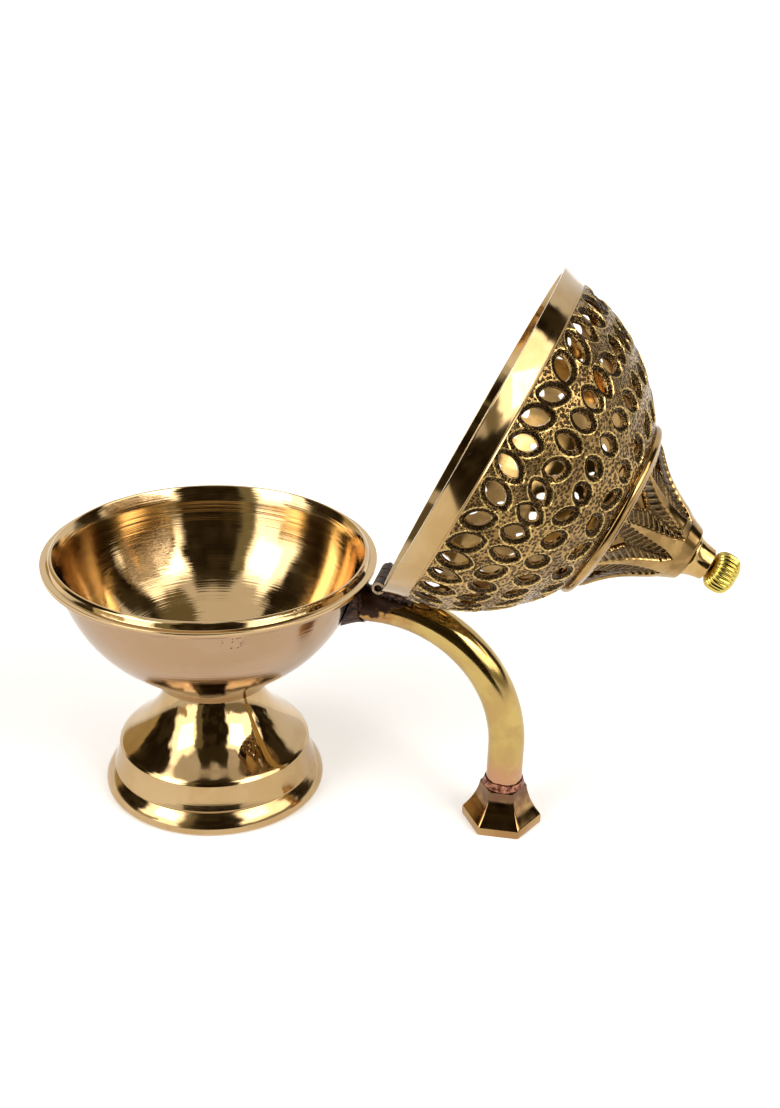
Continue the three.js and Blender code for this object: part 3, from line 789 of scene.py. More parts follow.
copper_braze = rough_braze("copper_braze", linear(196, 138, 112), linear(92, 50, 42), 1.0, 0.34, 0.6)
scorched = rough_braze("scorched_brass", linear(96, 70, 56), linear(34, 24, 22), 0.75, 0.42, 0.7)
print("braze materials:", copper_braze.name, scorched.name)

# %% [markdown]
# ## The fillet at the foot
# Molten braze creeps into a corner and sets as a hollow fillet with an uneven edge. A few sine
# waves of different counts, added round a ring, give an edge that wanders but still closes.

# %% Fillet round the tube's foot
def wander(angle, size, seed):
    """An uneven edge: sines of 2, 5, 9 and 14 waves round the ring, smaller as they get finer."""
    waves = [(2, 1.0), (5, 0.8), (9, 0.5), (14, 0.35)]
    return size * sum(a * np.sin(k * angle + seed * (k + 1.7)) for k, a in waves) / 2


def ring_fillet(inner, outer, bottom, top, edge, seed, sides=160):
    """A fillet round a tube: its outline hollows from the outer foot to the top edge, and the
    outer foot and the top both wander with the angle."""
    angle = np.arange(sides) * 2 * np.pi / sides
    t = np.linspace(0, 1, 14)[:, None]
    foot = outer + wander(angle, edge, seed)
    crest = top + wander(angle, edge, seed + 2)
    radius = inner + 0.15 + (foot - inner - 0.15) * (1 - t) ** 1.7
    height = bottom + (crest - bottom) * (1 - (1 - t) ** 1.3)
    radius = np.vstack([inner + 0 * angle, radius, inner + 0 * angle])
    height = np.vstack([bottom + 0 * angle, height, crest + 0.02])
    points = np.stack([radius * np.cos(angle), radius * np.sin(angle), height], -1)
    return points.reshape(-1, 3), [grid_quads(len(radius), sides, wrap_rows=True)]


foot_fillet = ring_fillet(SOCKET - 0.05, 6.75, 13.8, 15.7, edge=0.22, seed=1.3)
make_piece("foot_braze_fillet", foot_fillet, at_the_leg, "stand", "handle_foot_braze", copper_braze,
           "braze", sharp=60)

# %% [markdown]
# ## The fillet at the bowl
# Where the tube meets the bowl the same kind of fillet lies on a curved wall. Its rings go round
# the tube. Each begins on the bowl's side, whose radius is looked up at the ring's height, and runs
# out to a wandering edge on the tube. A boolean of two solids would leave no fillet at all.

# %% The fillet between tube and bowl
def root_shape(sides=120):
    """Round the tube's first stretch: one edge lies on the bowl's side, the other runs out along
    the tube. Under the flange the fillet is kept low enough to clear it."""
    angle = np.arange(sides) * 2 * np.pi / sides
    spread = np.minimum(7.9 + wander(angle, 0.5, 0.4), 7.7 / np.maximum(np.cos(angle), 0.05))
    spread = np.maximum(spread, SOCKET + 0.4)
    reach = 49.0 + wander(angle, 1.1, 2.1)
    t = np.linspace(0, 1, 18)[:, None]
    radius = np.vstack([SOCKET + 0 * angle, SOCKET + 0.12 + (spread - SOCKET - 0.12) * (1 - t) ** 2.6,
                        SOCKET + 0 * angle])
    up, side = radius * np.cos(angle), -radius * np.sin(angle)
    wall = np.sqrt(bowl_radius_at(HANDLE_TOP + up) ** 2 - side**2) + 0.35
    share = np.vstack([0 * angle, 0 * angle + t**0.8, 1 + 0 * angle])
    x = wall + share * (reach - wall)
    points = np.stack([x, side, HANDLE_TOP + up], -1)
    return points.reshape(-1, 3), [grid_quads(len(radius), sides, wrap_rows=True)]


make_piece("root_braze_fillet", root_shape(), on_stand, "stand", "handle_root_braze", scorched,
           "scorched_brass", sharp=60)

# %% [markdown]
# ## The hinge
# Two leaves of sheet, three knuckles and a pin. A leaf is a plate with rounded corners and worn
# edges: one rounded rectangle, drawn smaller and smaller towards the middle of each face. The
# knuckles are short tubes along Y. A cube with a Bevel modifier would look much the same, but
# this way the plate's corners and edges have one rounding each.

# %% Plates and barrels
def squarish(angle, power):
    """Radius of a square with rounded corners, which a higher power makes crisper."""
    return (np.abs(np.cos(angle)) ** power + np.abs(np.sin(angle)) ** power) ** (-1 / power)


def plate_shape(low, high, edge=0.22, sides=96):
    """A plate between two corners, in x and y, with its thickness in z. Rows of rounded rectangles
    go from the middle of the lower face over the rounded edge to the middle of the upper face."""
    low, high = np.array(low, float), np.array(high, float)
    half, middle = (high - low) / 2, (high + low) / 2
    angle = np.arange(sides) * 2 * np.pi / sides
    unit = squarish(angle, 8)
    across, along = unit * np.cos(angle), unit * np.sin(angle)
    turn = np.linspace(0, np.pi / 2, 5)
    insets = np.concatenate([edge * (1 - np.sin(turn)), edge * (1 - np.cos(turn))])
    levels = np.concatenate([-half[2] + edge * (1 - np.cos(turn)), half[2] - edge * (1 - np.sin(turn))])
    insets = np.concatenate([[half[0] * 0.6], insets, [half[0] * 0.6]])
    levels = np.concatenate([[-half[2]], levels, [half[2]]])
    x = across * np.maximum(half[0] - insets[:, None], 0.05) + middle[0]
    y = along * np.maximum(half[1] - insets[:, None], 0.05) + middle[1]
    grid = np.stack([x, y, levels[:, None] + middle[2] + 0 * x], -1)
    return capped(grid, middle - [0, 0, half[2]], middle + [0, 0, half[2]])


def along_y(shape):
    """A shape turned about Z, laid down so that its axis is Y and its top looks towards -Y."""
    points, faces = shape
    return points[:, [0, 2, 1]] * [1, -1, 1], faces


def barrel_shape(outer, bore, near, far, sides=64):
    """A short tube along Y from y = near to y = far, with rounded rims."""
    outline = [[bore, -far], [outer, -far], [outer, -near], [bore, -near]]
    return along_y(turned(soften(outline, 0.25), sides))


def fixed_by_pin(points):
    """Millimetres about the hinge pin, not turned, for what stays with the stand."""
    return (points + pin) * MM


print("hinge tools ready")

# %% [markdown]
# ## The fixed leaf
# It slopes away from the bowl, holds the outer two knuckles by a neck each, and leaves room
# between the necks for the lid's knuckle to turn. Leaf and necks are three plates that overlap,
# because one outline with a notch would need its own rounding in every corner.

# %% Fixed leaf and its necks
BARREL = 2.0
BORE = 1.1
HALF_BARREL = 13.9 / 2
LID_KNUCKLE = 5.2
LEAF_SLOPE = math.radians(13.6)


def sloped(points):
    """The fixed leaf leans down towards +X, so points are turned about the pin."""
    x, y, z = points.T
    c, s = math.cos(LEAF_SLOPE), math.sin(LEAF_SLOPE)
    return fixed_by_pin(np.stack([x * c + z * s, y, z * c - x * s], 1))


half_gap = LID_KNUCKLE / 2 + 0.3
make_piece("fixed_leaf", plate_shape([2.15, -5.5, -2], [11, 5.5, -1]), sloped, "stand", "hinge_base_leaf",
           scorched, "scorched_brass")
for side, near, far in (("near", -5.4, -half_gap), ("far", half_gap, 5.4)):
    neck = plate_shape([1.25, near, -1.98], [2.9, far, -1.02])
    make_piece("fixed_leaf_neck_" + side, neck, sloped, "stand", "hinge_base_leaf", scorched,
               "scorched_brass")

# %% [markdown]
# ## The outer knuckles and the pin
# The near knuckle's end was rubbed bright, so it has its own material, with a lighter colour over
# the last half millimetre. The pin sits back in that end and stands out of the far one.

# %% Outer knuckles and pin
worn_knuckle = rough_braze("worn_knuckle", linear(104, 80, 64), linear(40, 30, 26), 0.85, 0.36, 0.7)
worn_tree = worn_knuckle.node_tree
knuckle_y = node(worn_tree, "ShaderNodeSeparateXYZ", {0: place_of(worn_tree)}).outputs[1]
near_face = between(worn_tree, knuckle_y, -HALF_BARREL - 0.05, 0.5 - HALF_BARREL, 1.0, 0.0)
stain(worn_knuckle, near_face, 0.85, linear(190, 168, 138))
near_barrel = barrel_shape(BARREL, BORE, -HALF_BARREL, -half_gap)
make_piece("fixed_knuckle_near", near_barrel, fixed_by_pin, "stand", "hinge_base_leaf", worn_knuckle,
           "scorched_brass")
far_barrel = barrel_shape(BARREL, BORE, half_gap, HALF_BARREL)
make_piece("fixed_knuckle_far", far_barrel, fixed_by_pin, "stand", "hinge_base_leaf", scorched,
           "scorched_brass")
pin_outline = soften([[0, -HALF_BARREL - 3], [0.8, -HALF_BARREL - 3], [0.8, HALF_BARREL - 0.8],
                      [0, HALF_BARREL - 0.8]], 0.3, closed=False)
make_piece("hinge_pin_rod", along_y(turned(pin_outline, 40)), fixed_by_pin, "stand", "hinge_pin",
           scorched, "scorched_brass")

# %% [markdown]
# ## The bed of braze
# The leaf sits on a lump of braze that fills the wedge between it and the round tube. It is made
# of slices across the handle, like a loaf. The top of a slice follows the leaf's slope and its
# bottom follows the tube, both across a thin seam, which a sculpted lump would not keep so even.

# %% Bed of braze under the fixed leaf
def bed_shape(rows=26, sides=64):
    """Slices across the handle, each a flat top under the leaf, two hollowed flanks, and a bottom
    that follows the tube. The first and last slices shrink onto their own middles."""
    x = np.linspace(54.7, 63.9, rows)[:, None]
    t = np.arcsin(np.clip((x - ARCH_START) / ARCH_WIDTH, 0, 1))
    middle = LEG_TOP + ARCH_HEIGHT * np.cos(t)
    tilt = np.arctan(ARCH_HEIGHT / ARCH_WIDTH * np.tan(t))
    ceiling = pin[2] - (x - hinge_reach) * math.tan(LEAF_SLOPE) - (BARREL + 0.35) / math.cos(LEAF_SLOPE)
    u = np.arange(sides) / sides
    half = 3.9 + 0.25 * np.sin(x * 1.9) + 0.15 * np.sin(x * 4.3)
    upper = u < 0.5
    sweep = np.where(upper, 1 - 4 * u, 4 * u - 3)
    y = half * np.sign(sweep) * np.abs(sweep) ** 0.8
    floor = middle + np.sqrt(np.maximum((TUBE + 0.3) ** 2 - y**2, 0.1)) / np.cos(tilt)
    pinch = 0.12 * (1 - np.abs(sweep) ** 6)
    z = np.where(upper, np.maximum(ceiling - 0.2 + pinch, floor + 0.1), np.minimum(floor, ceiling - 0.3))
    grid = np.stack([x + 0 * y, y, z], -1)
    return capped(grid, grid[0].mean(0), grid[-1].mean(0))


make_piece("hinge_bed_braze", bed_shape(), on_stand, "stand", "hinge_base_braze", scorched,
           "scorched_brass", sharp=60)

# %% [markdown]
# ## The moving leaf
# The lid's leaf is the same kind of plate, stood upright against the rim band, with a neck that
# reaches down to the middle knuckle. All three ride on the lid, so they swing with it.

# %% Moving leaf and its knuckle
def upright_plate(low, high):
    """A plate made lying down, stood up so that its thickness is along X and its length along Z."""
    low, high = np.array(low, float), np.array(high, float)
    points, faces = plate_shape(low[[2, 1, 0]], high[[2, 1, 0]])
    return points[:, [2, 1, 0]], faces


make_piece("moving_leaf", upright_plate([-2, -6, 2.3], [-1, 6, 8]), by_the_pin, "lid", "hinge_lid_leaf",
           scorched, "scorched_brass")
make_piece("moving_leaf_neck", upright_plate([-1.98, -2.5, 0.2], [-1.02, 2.5, 3.2]), by_the_pin, "lid",
           "hinge_lid_leaf", scorched, "scorched_brass")
middle_barrel = barrel_shape(BARREL, BORE, -LID_KNUCKLE / 2, LID_KNUCKLE / 2)
make_piece("moving_knuckle", middle_barrel, by_the_pin, "lid", "hinge_lid_leaf", scorched,
           "scorched_brass")

# %% [markdown]
# ## The lid's rim band
# The lower edge of the lid is plain and polished: a band that leans in, with one fine scribed line
# where the piercing starts. Inside, it is bored out to drop over the bowl's lip.

# %% Rim band
def band_outline():
    """Band up the outside with a scribed line at its top, and the bored seat inside."""
    side = bezier((52.1, 0), (50.7, 3.4), (50.15, 6.45), count=16)
    line = [[49.95, 6.6], [50.1, 6.95], [50.2, 7.1]]
    inside = [[48.0, 7.1], [48.1, 3.4], [50, 2.6], [50, 0]]
    return soften(np.vstack([side, line, inside]), 0.2)


make_piece("lid_rim_band", turned(band_outline(), 288), on_lid, "lid", "pierced_lid", band_brass,
           "aged_brass")

# %% [markdown]
# ## The pierced dome
# Four rows of pointed openings go round the dome, each tilted its own way, and each sits in a
# chased hollow with a raised lip. A boolean would cut them one by one and leave long thin faces.
# Instead the dome is a fine grid. For each point the signed distance to the nearest opening is
# worked out: faces inside are dropped, the points along the cut are moved onto its outline, and
# the same distance shapes the hollow and the lip.

# %% The dome's line and its openings
DOME_WALL = 1.6
FAR_AWAY = 9.0
dome_points = [[50.2, 7.12], [48.1, 16.4], [43.2, 26.7], [36.6, 35.2], [26.3, 43.8]]
dome_line = evenly(through(dome_points, 200), 0.48)
dome_arc = distance_along(dome_line)

# Height of the middles, how many, the first one's angle, length, width, and repeating tilts
opening_rows = [
    (11.9, 41, -71.1, 7.7, 4.4, [0, 30, 50, -35, -30, -13, 25, 30, -30, -33, -8, 4]),
    (22.1, 42, -77.1, 6.6, 3.8, [15, -20, 20, 5, -10, 0, -30, 30, 19, 2, 8, -32]),
    (31.4, 34, -75.6, 5.6, 3.4, [10, -20, -28, 0, 20, 30, -35, -27, 3]),
    (39.7, 24, -57.0, 5.8, 3.3, [20, 10, -48, 45, -38, 30]),
]
openings = sum(count for _, count, *_ in opening_rows)
print("dome", len(dome_line), "rows over", round(dome_arc[-1], 1), "mm,", openings, "openings")

# %% [markdown]
# ## How far to the nearest opening
# An opening is a pointed oval between two arcs. Its signed distance is negative inside, zero on the
# outline and positive outside, in millimetres. Each opening is a little longer, wider or further
# along than its row says, as hand-cut ones are, by sines of its number instead of random draws.

# %% Distance to the openings
def almond(across, along, half_width, half_length):
    """Signed distance to two crossing arcs. The arcs' centres lie left and right of the middle, so
    past a tip the distance is to the tip, and elsewhere it is to the farther arc."""
    x, y = np.abs(across), np.abs(along)
    centre = (half_length**2 - half_width**2) / (2 * half_width)
    by_tip = np.hypot(x, y - half_length)
    by_arc = np.hypot(x + centre, y) - (centre + half_width)
    return np.where((y - half_length) * centre > x * half_length, by_tip, by_arc)


def to_openings(angle, arc):
    """Signed distance in millimetres from places on the dome to the nearest opening: each place is
    laid flat beside an opening, turned by its tilt, and measured against a rounded almond."""
    radius = np.interp(arc, dome_arc, dome_line[:, 0])
    nearest = np.full(angle.shape, FAR_AWAY)
    for height, count, first, length, width, tilts in opening_rows:
        middle_arc = np.interp(height, dome_line[:, 1], dome_arc)
        close = np.abs(arc - middle_arc) < 7.5
        number = np.arange(count)
        turn = np.radians(first + number * 360 / count) + 0.010 * np.sin(number * 5.1 + height)
        tilt = np.radians(np.array(tilts)[number % len(tilts)])
        half_length = length / 2 * (1 + 0.07 * np.sin(number * 2.3 + height))
        half_width = width / 2 * (1 + 0.10 * np.sin(number * 3.9 + height))
        swing = (angle[close, None] - turn + np.pi) % (2 * np.pi) - np.pi
        across = swing * radius[close, None]
        along = (arc[close] - middle_arc)[:, None] - 0.45 * np.sin(number * 2.9 + height)
        lean_x = across * np.cos(tilt) - along * np.sin(tilt)
        lean_y = across * np.sin(tilt) + along * np.cos(tilt)
        rounding = 0.12
        distance = almond(lean_x, lean_y, half_width - rounding, half_length - rounding) - rounding
        nearest[close] = np.minimum(nearest[close], distance.min(1))
    return nearest


first_height, _, first_angle, *_ = opening_rows[0]
first_arc = np.interp([first_height], dome_line[:, 1], dome_arc)
first_distance = to_openings(np.radians([first_angle]), first_arc)
print("distance near the first opening's middle:", first_distance.round(2))

# %% [markdown]
# ## A shell with holes
# The grid knows nothing of the openings, so its cells along a hole end in steps. Three small
# functions mend that: one slides the points on the brink down the distance's slope onto the
# outline, one finds the open sides of the skin and walls them to the inner skin, and one reads
# radius and height off a line. The wall closes the holes and the shell's two ends alike.

# %% Sliding onto an outline, and walls
def onto_outline(angle, arc, radius, distance, past):
    """Places near holes, slid twice down the distance's slope onto the outline, then on past it."""
    nudge = 0.05
    for _ in range(2):
        step = nudge / radius
        slope_a = distance(angle + step, arc) - distance(angle - step, arc)
        slope_s = distance(angle, arc + nudge) - distance(angle, arc - nudge)
        size = np.hypot(slope_a, slope_s) + 1e-9
        gap = np.clip(distance(angle, arc), -0.8, 0.8)
        angle = angle - gap * slope_a / size / radius
        arc = arc - gap * slope_s / size
    return angle - past * slope_a / size / radius, arc - past * slope_s / size


def walls(quads, count):
    """Quads from every open side of a skin to the same side of the skin whose points come a count
    later. A side is open when no other cell runs along it the other way."""
    sides = np.vstack([quads[:, [k, (k + 1) % 4]] for k in range(4)])
    ahead, back = sides[:, 0] * count + sides[:, 1], sides[:, 1] * count + sides[:, 0]
    first, second = sides[~np.isin(ahead, back)].T
    return np.stack([second, first, first + count, second + count], 1)


def read_off(line, line_arc, arc):
    """Radius and height of a line, or of a line of directions, at distances along it."""
    return np.stack([np.interp(arc, line_arc, column) for column in line.T])


print("walls round one cell:", len(walls(np.array([[0, 1, 2, 3]]), 4)))

# %% [markdown]
# ## The shell itself
# The outer skin is raised or sunk by a relief in millimetres, square to the line. The inner skin is
# plain, and its holes are a little narrower, as a tapered tool that comes from outside leaves them.
# What the material needs to know about a point goes with it as three numbers.

# %% A shell with holes
def pierced_shell(outer, inner, columns, distance, relief, ground, draft=0.1):
    """A turned shell whose outer and inner lines match row by row. distance(angle, arc) is negative
    in a hole, and cells whose middle is in a hole are dropped. Gives back the shape and, for each
    point, whether it may be punched ground, its distance from a hole, and its lift."""
    arc = distance_along(outer)
    step = 2 * np.pi / columns
    grid_angle, grid_arc = (g.ravel() for g in np.meshgrid(np.arange(columns) * step - np.pi, arc))
    cells = grid_quads(len(arc), columns)
    keep = distance(grid_angle[cells[:, 0]] + step / 2, grid_arc[cells].mean(1)) > 0
    quads, brink = cells[keep], np.intersect1d(cells[keep], cells[~keep])

    def slid(past):
        """Angle and arc of every point. Those on the brink lie on the outline, or past it in the hole."""
        a, s = grid_angle.copy(), grid_arc.copy()
        radius = np.interp(s[brink], arc, outer[:, 0])
        a[brink], s[brink] = onto_outline(a[brink], s[brink], radius, distance, past)
        return a, np.clip(s, 0, arc[-1])

    a, s = slid(0.0)
    d = distance(a, s)
    lift = relief(a, s, d)
    sideways = offset(outer, 1.0) - outer
    outer_points = around_z(a, *(read_off(outer, arc, s) + lift * read_off(sideways, arc, s)))
    a, s = slid(draft)
    points = np.vstack([outer_points, around_z(a, *read_off(inner, arc, s))])
    n = len(outer_points)
    faces = np.vstack([quads, quads[:, ::-1] + n, walls(quads, n)])
    used, faces = np.unique(faces, return_inverse=True)
    data = np.stack([np.repeat([ground, 0.0], n), np.tile(d, 2), np.append(lift, 0 * lift)], 1)
    return (points[used], [faces.reshape(-1, 4)]), data[used]


def dish(_angle, _arc, d):
    """Relief in millimetres by distance from an opening, wherever it is: a hollow that falls
    towards it, with a raised lip at its outer edge."""
    return np.interp(d, [0, 0.3, 1.2, 1.5, 1.95], [-0.85, -0.75, -0.3, 0.26, 0.0])


print("relief 0, 1.5 and 3 mm from an opening:", dish(0, 0, [0, 1.5, 3]))

# %% [markdown]
# ## Chased brass
# The dome is aged: dark in the hollows, and matted between them with punch marks. Its raised lips
# carry a painted highlight, a lighter gold where they would glint. The numbers that came with each
# point say where that is, so the colours follow the relief exactly. Pointiness or an ambient
# occlusion node could only guess at it.

# %% Aged and chased brass
def pierced_brass():
    """Chased brass. The attribute chase holds ground or not, distance from a hole, and lift. Punched
    dents cover the ground, finer ones the hollows. Dirt lies in both and in every low cut."""
    material, tree, shader = new_material("pierced_brass")
    place = place_of(tree)
    chase = node(tree, "ShaderNodeAttribute", attribute_name="chase").outputs["Vector"]
    ground, d, lift = node(tree, "ShaderNodeSeparateXYZ", {0: chase}).outputs
    coarse = group(tree, pits, Place=place, Cell=0.95, Radius=0.5, Share=1.0)
    fine = group(tree, pits, Place=place, Cell=0.55, Radius=0.5, Share=0.9)
    cloud = group(tree, clouds, Place=place, Scale=0.1, Cover=0.5)
    hollow = between(tree, d, 1.1, 1.4, 1.0, 0.0)
    lip = times(tree, between(tree, d, 1.2, 1.45), between(tree, d, 1.55, 1.85, 1.0, 0.0))
    cut = between(tree, d, 0.02, 0.2, 1.0, 0.0)
    bare = maths(tree, "SUBTRACT", 1.0, maths(tree, "MAXIMUM", lip, cut))
    dents = mix_value(tree, hollow, coarse["Mask"], fine["Mask"])
    dents = times(tree, times(tree, dents, bare), ground)
    sunk = between(tree, lift, -0.34, -0.04, 1.0, 0.0)
    dirt = times(tree, sunk, maths(tree, "SUBTRACT", 1.0, cut))
    dirt = times(tree, dirt, between(tree, cloud["Fine"], 0.3, 0.6, 0.6, 1.0))
    tarnish = times(tree, cloud["Mask"], 0.6)
    tint = mix(tree, tarnish, linear(172, 140, 88), linear(100, 74, 42))
    tint = mix(tree, times(tree, dirt, 0.95), tint, linear(42, 29, 15))
    tint = mix(tree, times(tree, dents, 0.85), tint, linear(38, 26, 15))
    # Painted highlight: the raised lips on the ground are mixed towards a lighter gold, which stands in
    # for the glint they catch.
    tint = mix(tree, times(tree, lip, ground), tint, linear(206, 176, 112))
    rough = maths(tree, "MULTIPLY_ADD", cloud["Mask"], 0.08, 0.07)
    rough = maths(tree, "MULTIPLY_ADD", dents, 0.3, rough)
    rough = maths(tree, "MULTIPLY_ADD", dirt, 0.15, rough)
    worn = times(tree, times(tree, cloud["Fine"], ground), 0.16)
    height = maths(tree, "SUBTRACT", worn, dents)
    finish(tree, shader, tint, rough, bump(tree, height, 7e-4))
    return material


chased = pierced_brass()
dome_inner = offset(dome_line, -DOME_WALL)
dome, dome_data = pierced_shell(dome_line, dome_inner, 600, to_openings, dish, ground=1.0)
make_piece("lid_pierced_dome", dome, on_lid, "lid", "pierced_lid", chased, "aged_brass", sharp=50,
           chase=dome_data)

# %% [markdown]
# ## The spire
# Above a smooth ring the lid is drawn up into a spire of ten leaves. Each leaf has a plain midrib
# that widens upwards, with feathered cuts on both sides, and between the leaves there are ten
# three-sided gaps. The same shell with holes does it, with another distance.

# %% The spire's line
LEAVES = 10
LEAF_STEP = 2 * math.pi / LEAVES
GAP_AT = math.radians(-3)
GAP_FLOOR, GAP_HALF = 48.0, 3.1
PLATE_UNDER, SCREW_HOLE = 67.9, 2.2
RING_TOP = 46.4
spire_curve = bezier((24.6, RING_TOP), (17.5, 52.4), (14.0, 56.4), (8.2, 70.0), count=120)
ring_curve = bezier((26.35, 43.82), (27.2, 44.0), (27.3, RING_TOP), (24.6, RING_TOP), count=16)
plate_top = [[7.9, 70.35], [SCREW_HOLE, 70.4]]
spire_line = evenly(np.vstack([ring_curve, spire_curve[1:], plate_top]), 0.32)
spire_arc = distance_along(spire_line)
spire_radius, spire_height = spire_line.T
print("spire", len(spire_line), "rows over", round(spire_arc[-1], 1), "mm")

# %% [markdown]
# ## Leaves and gaps
# Everything about one leaf repeats ten times, so an angle is first folded into a single leaf. There
# a gap is a triangle between two leaves, with its flat side along the ring. Its distance is the
# larger of two straight lines' distances, rounded where they meet.

# %% Place on a leaf, and the gaps
def leaf_place(angle, arc):
    """Distance across from the gap's middle, height, and distance from the leaf's midrib."""
    swing = (angle - GAP_AT + LEAF_STEP / 2) % LEAF_STEP - LEAF_STEP / 2
    radius, height = read_off(spire_line, spire_arc, arc)
    return swing * radius, height, (LEAF_STEP / 2 - np.abs(swing)) * radius


def to_gaps(angle, arc):
    """Signed distance to a three-sided gap: its flat side along the ring and its point upwards."""
    across, height, _ = leaf_place(angle, arc)
    base = GAP_FLOOR - height
    flank = (np.abs(across) - GAP_HALF) * 0.8 + (height - GAP_FLOOR) * 0.6
    corner = 0.4
    a, b = base + corner, flank + corner
    outer = np.hypot(np.maximum(a, 0), np.maximum(b, 0))
    d = outer + np.minimum(np.maximum(a, b), 0) - corner
    return np.where(height > 60, FAR_AWAY, d)


in_gap = np.interp([GAP_FLOOR + 1.5], spire_height, spire_arc)
print("distance in a gap:", to_gaps(np.array([GAP_AT]), in_gap).round(2))

# %% [markdown]
# ## Feathered cuts and the spire
# The carving is a relief on the leaf's own place: a rib that stays high, a groove where two leaves
# meet, and cuts that slant away from the rib, which a cosine of height and distance gives. Sculpting
# it by hand would take ten careful copies, and here one formula cuts them all.

# %% Spire of leaves
def feather(angle, arc, d):
    """Relief: a raised midrib, a groove between leaves, and cuts that slant from rib to edge."""
    across, height, from_rib = leaf_place(angle, arc)
    on_leaf = np.clip((height - 47.0) / 0.6, 0, 1) * np.clip((66.0 - height) / 2.5, 0, 1)
    rib_width = np.interp(height, [48, 52, 62, 66], [0.3, 0.9, 1.9, 3.2])
    rib = np.clip((rib_width - from_rib) / 0.5 + 0.5, 0, 1)
    groove = np.exp(-((across / 0.5) ** 2)) * (height > 50)
    cuts = 0.5 - 0.5 * np.cos(2 * np.pi * (height + 0.8 * from_rib) / 1.8)
    lift = 0.4 * rib - (1 - rib) * (0.18 + 0.42 * cuts) - 0.45 * groove
    return (lift - 0.3 * np.clip(1 - d / 0.5, 0, 1)) * on_leaf


# The wall is 2 mm thick, and the flat plate under the collar has the screw's hole through it
spire_inner = offset(spire_line, -2.0)
plate = spire_height > 70.1
spire_inner[plate, 0] = np.maximum(spire_radius[plate] - 2.2, SCREW_HOLE)
spire_inner[plate, 1] = PLATE_UNDER
spire_inner[~plate, 1] = np.minimum(spire_inner[~plate, 1], PLATE_UNDER)
spire, spire_data = pierced_shell(spire_line, spire_inner, 400, to_gaps, feather, ground=0.0)
make_piece("lid_leaf_spire", spire, on_lid, "lid", "pierced_lid", chased, "aged_brass", sharp=60,
           chase=spire_data)

# %% [markdown]
# ## The collar
# A plain turned collar stands on the spire's plate and carries the knob. It is turned from the same
# kind of outline as the bowl, with the screw's hole through it.

# %% Collar
def collar_outline():
    """Foot, tapered side and top of the collar, then straight down the screw's hole."""
    side = bezier((6.0, 71.5), (5.2, 73.2), (4.7, 76.6), count=16)
    foot = [[SCREW_HOLE, 70.7], [6.2, 70.7], [6.2, 71.3]]
    return soften(np.vstack([foot, side, [[SCREW_HOLE, 76.7]]]), 0.2)


make_piece("knob_collar_turned", turned(collar_outline(), 160), on_lid, "lid", "knob_collar",
           collar_brass, "polished_brass")

# %% [markdown]
# ## The knob
# A small barrel of bright yellow brass has reeds cut along it for grip. Its side is a superellipse,
# which is fuller than a ball. The reeds are a cosine round the knob whose depth fades towards both
# ends, so that they run out as a milling cutter leaves them.

# %% Reeded knob
KNOB_RADIUS = 5.88
KNOB_BOTTOM, KNOB_HALF = 77.0, 4.2


def knob_shape(reeds=26, sides=624):
    """A barrel from a superellipse side, with scallops between the reeds where it is full."""
    t = np.linspace(-1, 1, 60)
    side = KNOB_RADIUS * (1 - np.abs(t) ** 2.8) ** (1 / 2.8)
    height = KNOB_BOTTOM + KNOB_HALF * (t + 1)
    angle = np.arange(sides) * 2 * np.pi / sides
    full = np.clip((side / KNOB_RADIUS - 0.35) / 0.4, 0, 1)[:, None]
    scallop = (0.5 - 0.5 * np.cos(reeds * angle)) ** 1.6
    radius = np.maximum(side, 0.02)[:, None] - 0.42 * full * scallop
    grid = around_z(angle, radius[1:-1], height[1:-1, None])
    return capped(grid, [0, 0, KNOB_BOTTOM], [0, 0, KNOB_BOTTOM + 2 * KNOB_HALF])


def lemon_brass():
    """Bright yellow brass with clouds of a deeper yellow and a fine grain."""
    material, tree, shader = new_material("lemon_brass")
    place = place_of(tree)
    cloud = group(tree, clouds, Place=place, Scale=0.3, Cover=0.4)
    tarnish = times(tree, cloud["Mask"], 0.5)
    tint = mix(tree, tarnish, linear(208, 190, 98), linear(190, 160, 62))
    rough = maths(tree, "MULTIPLY_ADD", cloud["Fine"], 0.1, 0.1)
    finish(tree, shader, tint, rough, bump(tree, cloud["Fine"], 1e-5))
    return material


make_piece("reeded_knob", knob_shape(), on_lid, "lid", "knob", lemon_brass(), "lemon_brass")

# %% [markdown]
# ## The lid's braze
# A lumpy wedge of braze joins the lid's leaf to the round rim band. It is a row of slices along Y,
# each a rounded box that reaches from the band's round surface to the flat leaf. As in the solids, a
# seam of about 0.3 mm stays open on both sides, so that the pieces don't run into each other.

# %% Lid braze
def lid_braze_shape(rows=24, sides=48):
    """A lumpy wedge between the band and its leaf: slices along Y, each a rounded box in x and z."""
    y = np.linspace(-5.0, 5.0, rows)[:, None] + pin[1]
    u = np.arange(sides) * 2 * np.pi / sides
    unit = squarish(u, 5)
    low, high = 2.6, 7.0 + 0.3 * np.sin(y * 1.7)
    z = (low + high) / 2 + (high - low) / 2 * unit * np.sin(u)
    band_radius = np.interp(z, [0, 3.4, 6.8, 9], [52.1, 50.9, 50.1, 49.9])
    band = np.sqrt(np.maximum(band_radius**2 - y**2, 1)) + 0.25
    face = hinge_reach - BARREL - 0.3
    share = 0.5 + 0.5 * unit * np.cos(u)
    x = band + (face - band) * np.clip(share, 0, 1)
    grid = np.stack([x, y + 0 * x, z], -1)
    return capped(grid, grid[0].mean(0), grid[-1].mean(0))


make_piece("lid_leaf_braze", lid_braze_shape(), on_lid, "lid", "hinge_lid_braze", scorched,
           "scorched_brass", sharp=60)

# %% [markdown]
# ## Hidden fasteners
# The stud, washer, screw and nuts keep their CAD shapes, which are plain cylinders and hexagons.
# Their steel reads the object's own coordinates, in metres, so its grain is scaled to millimetres.

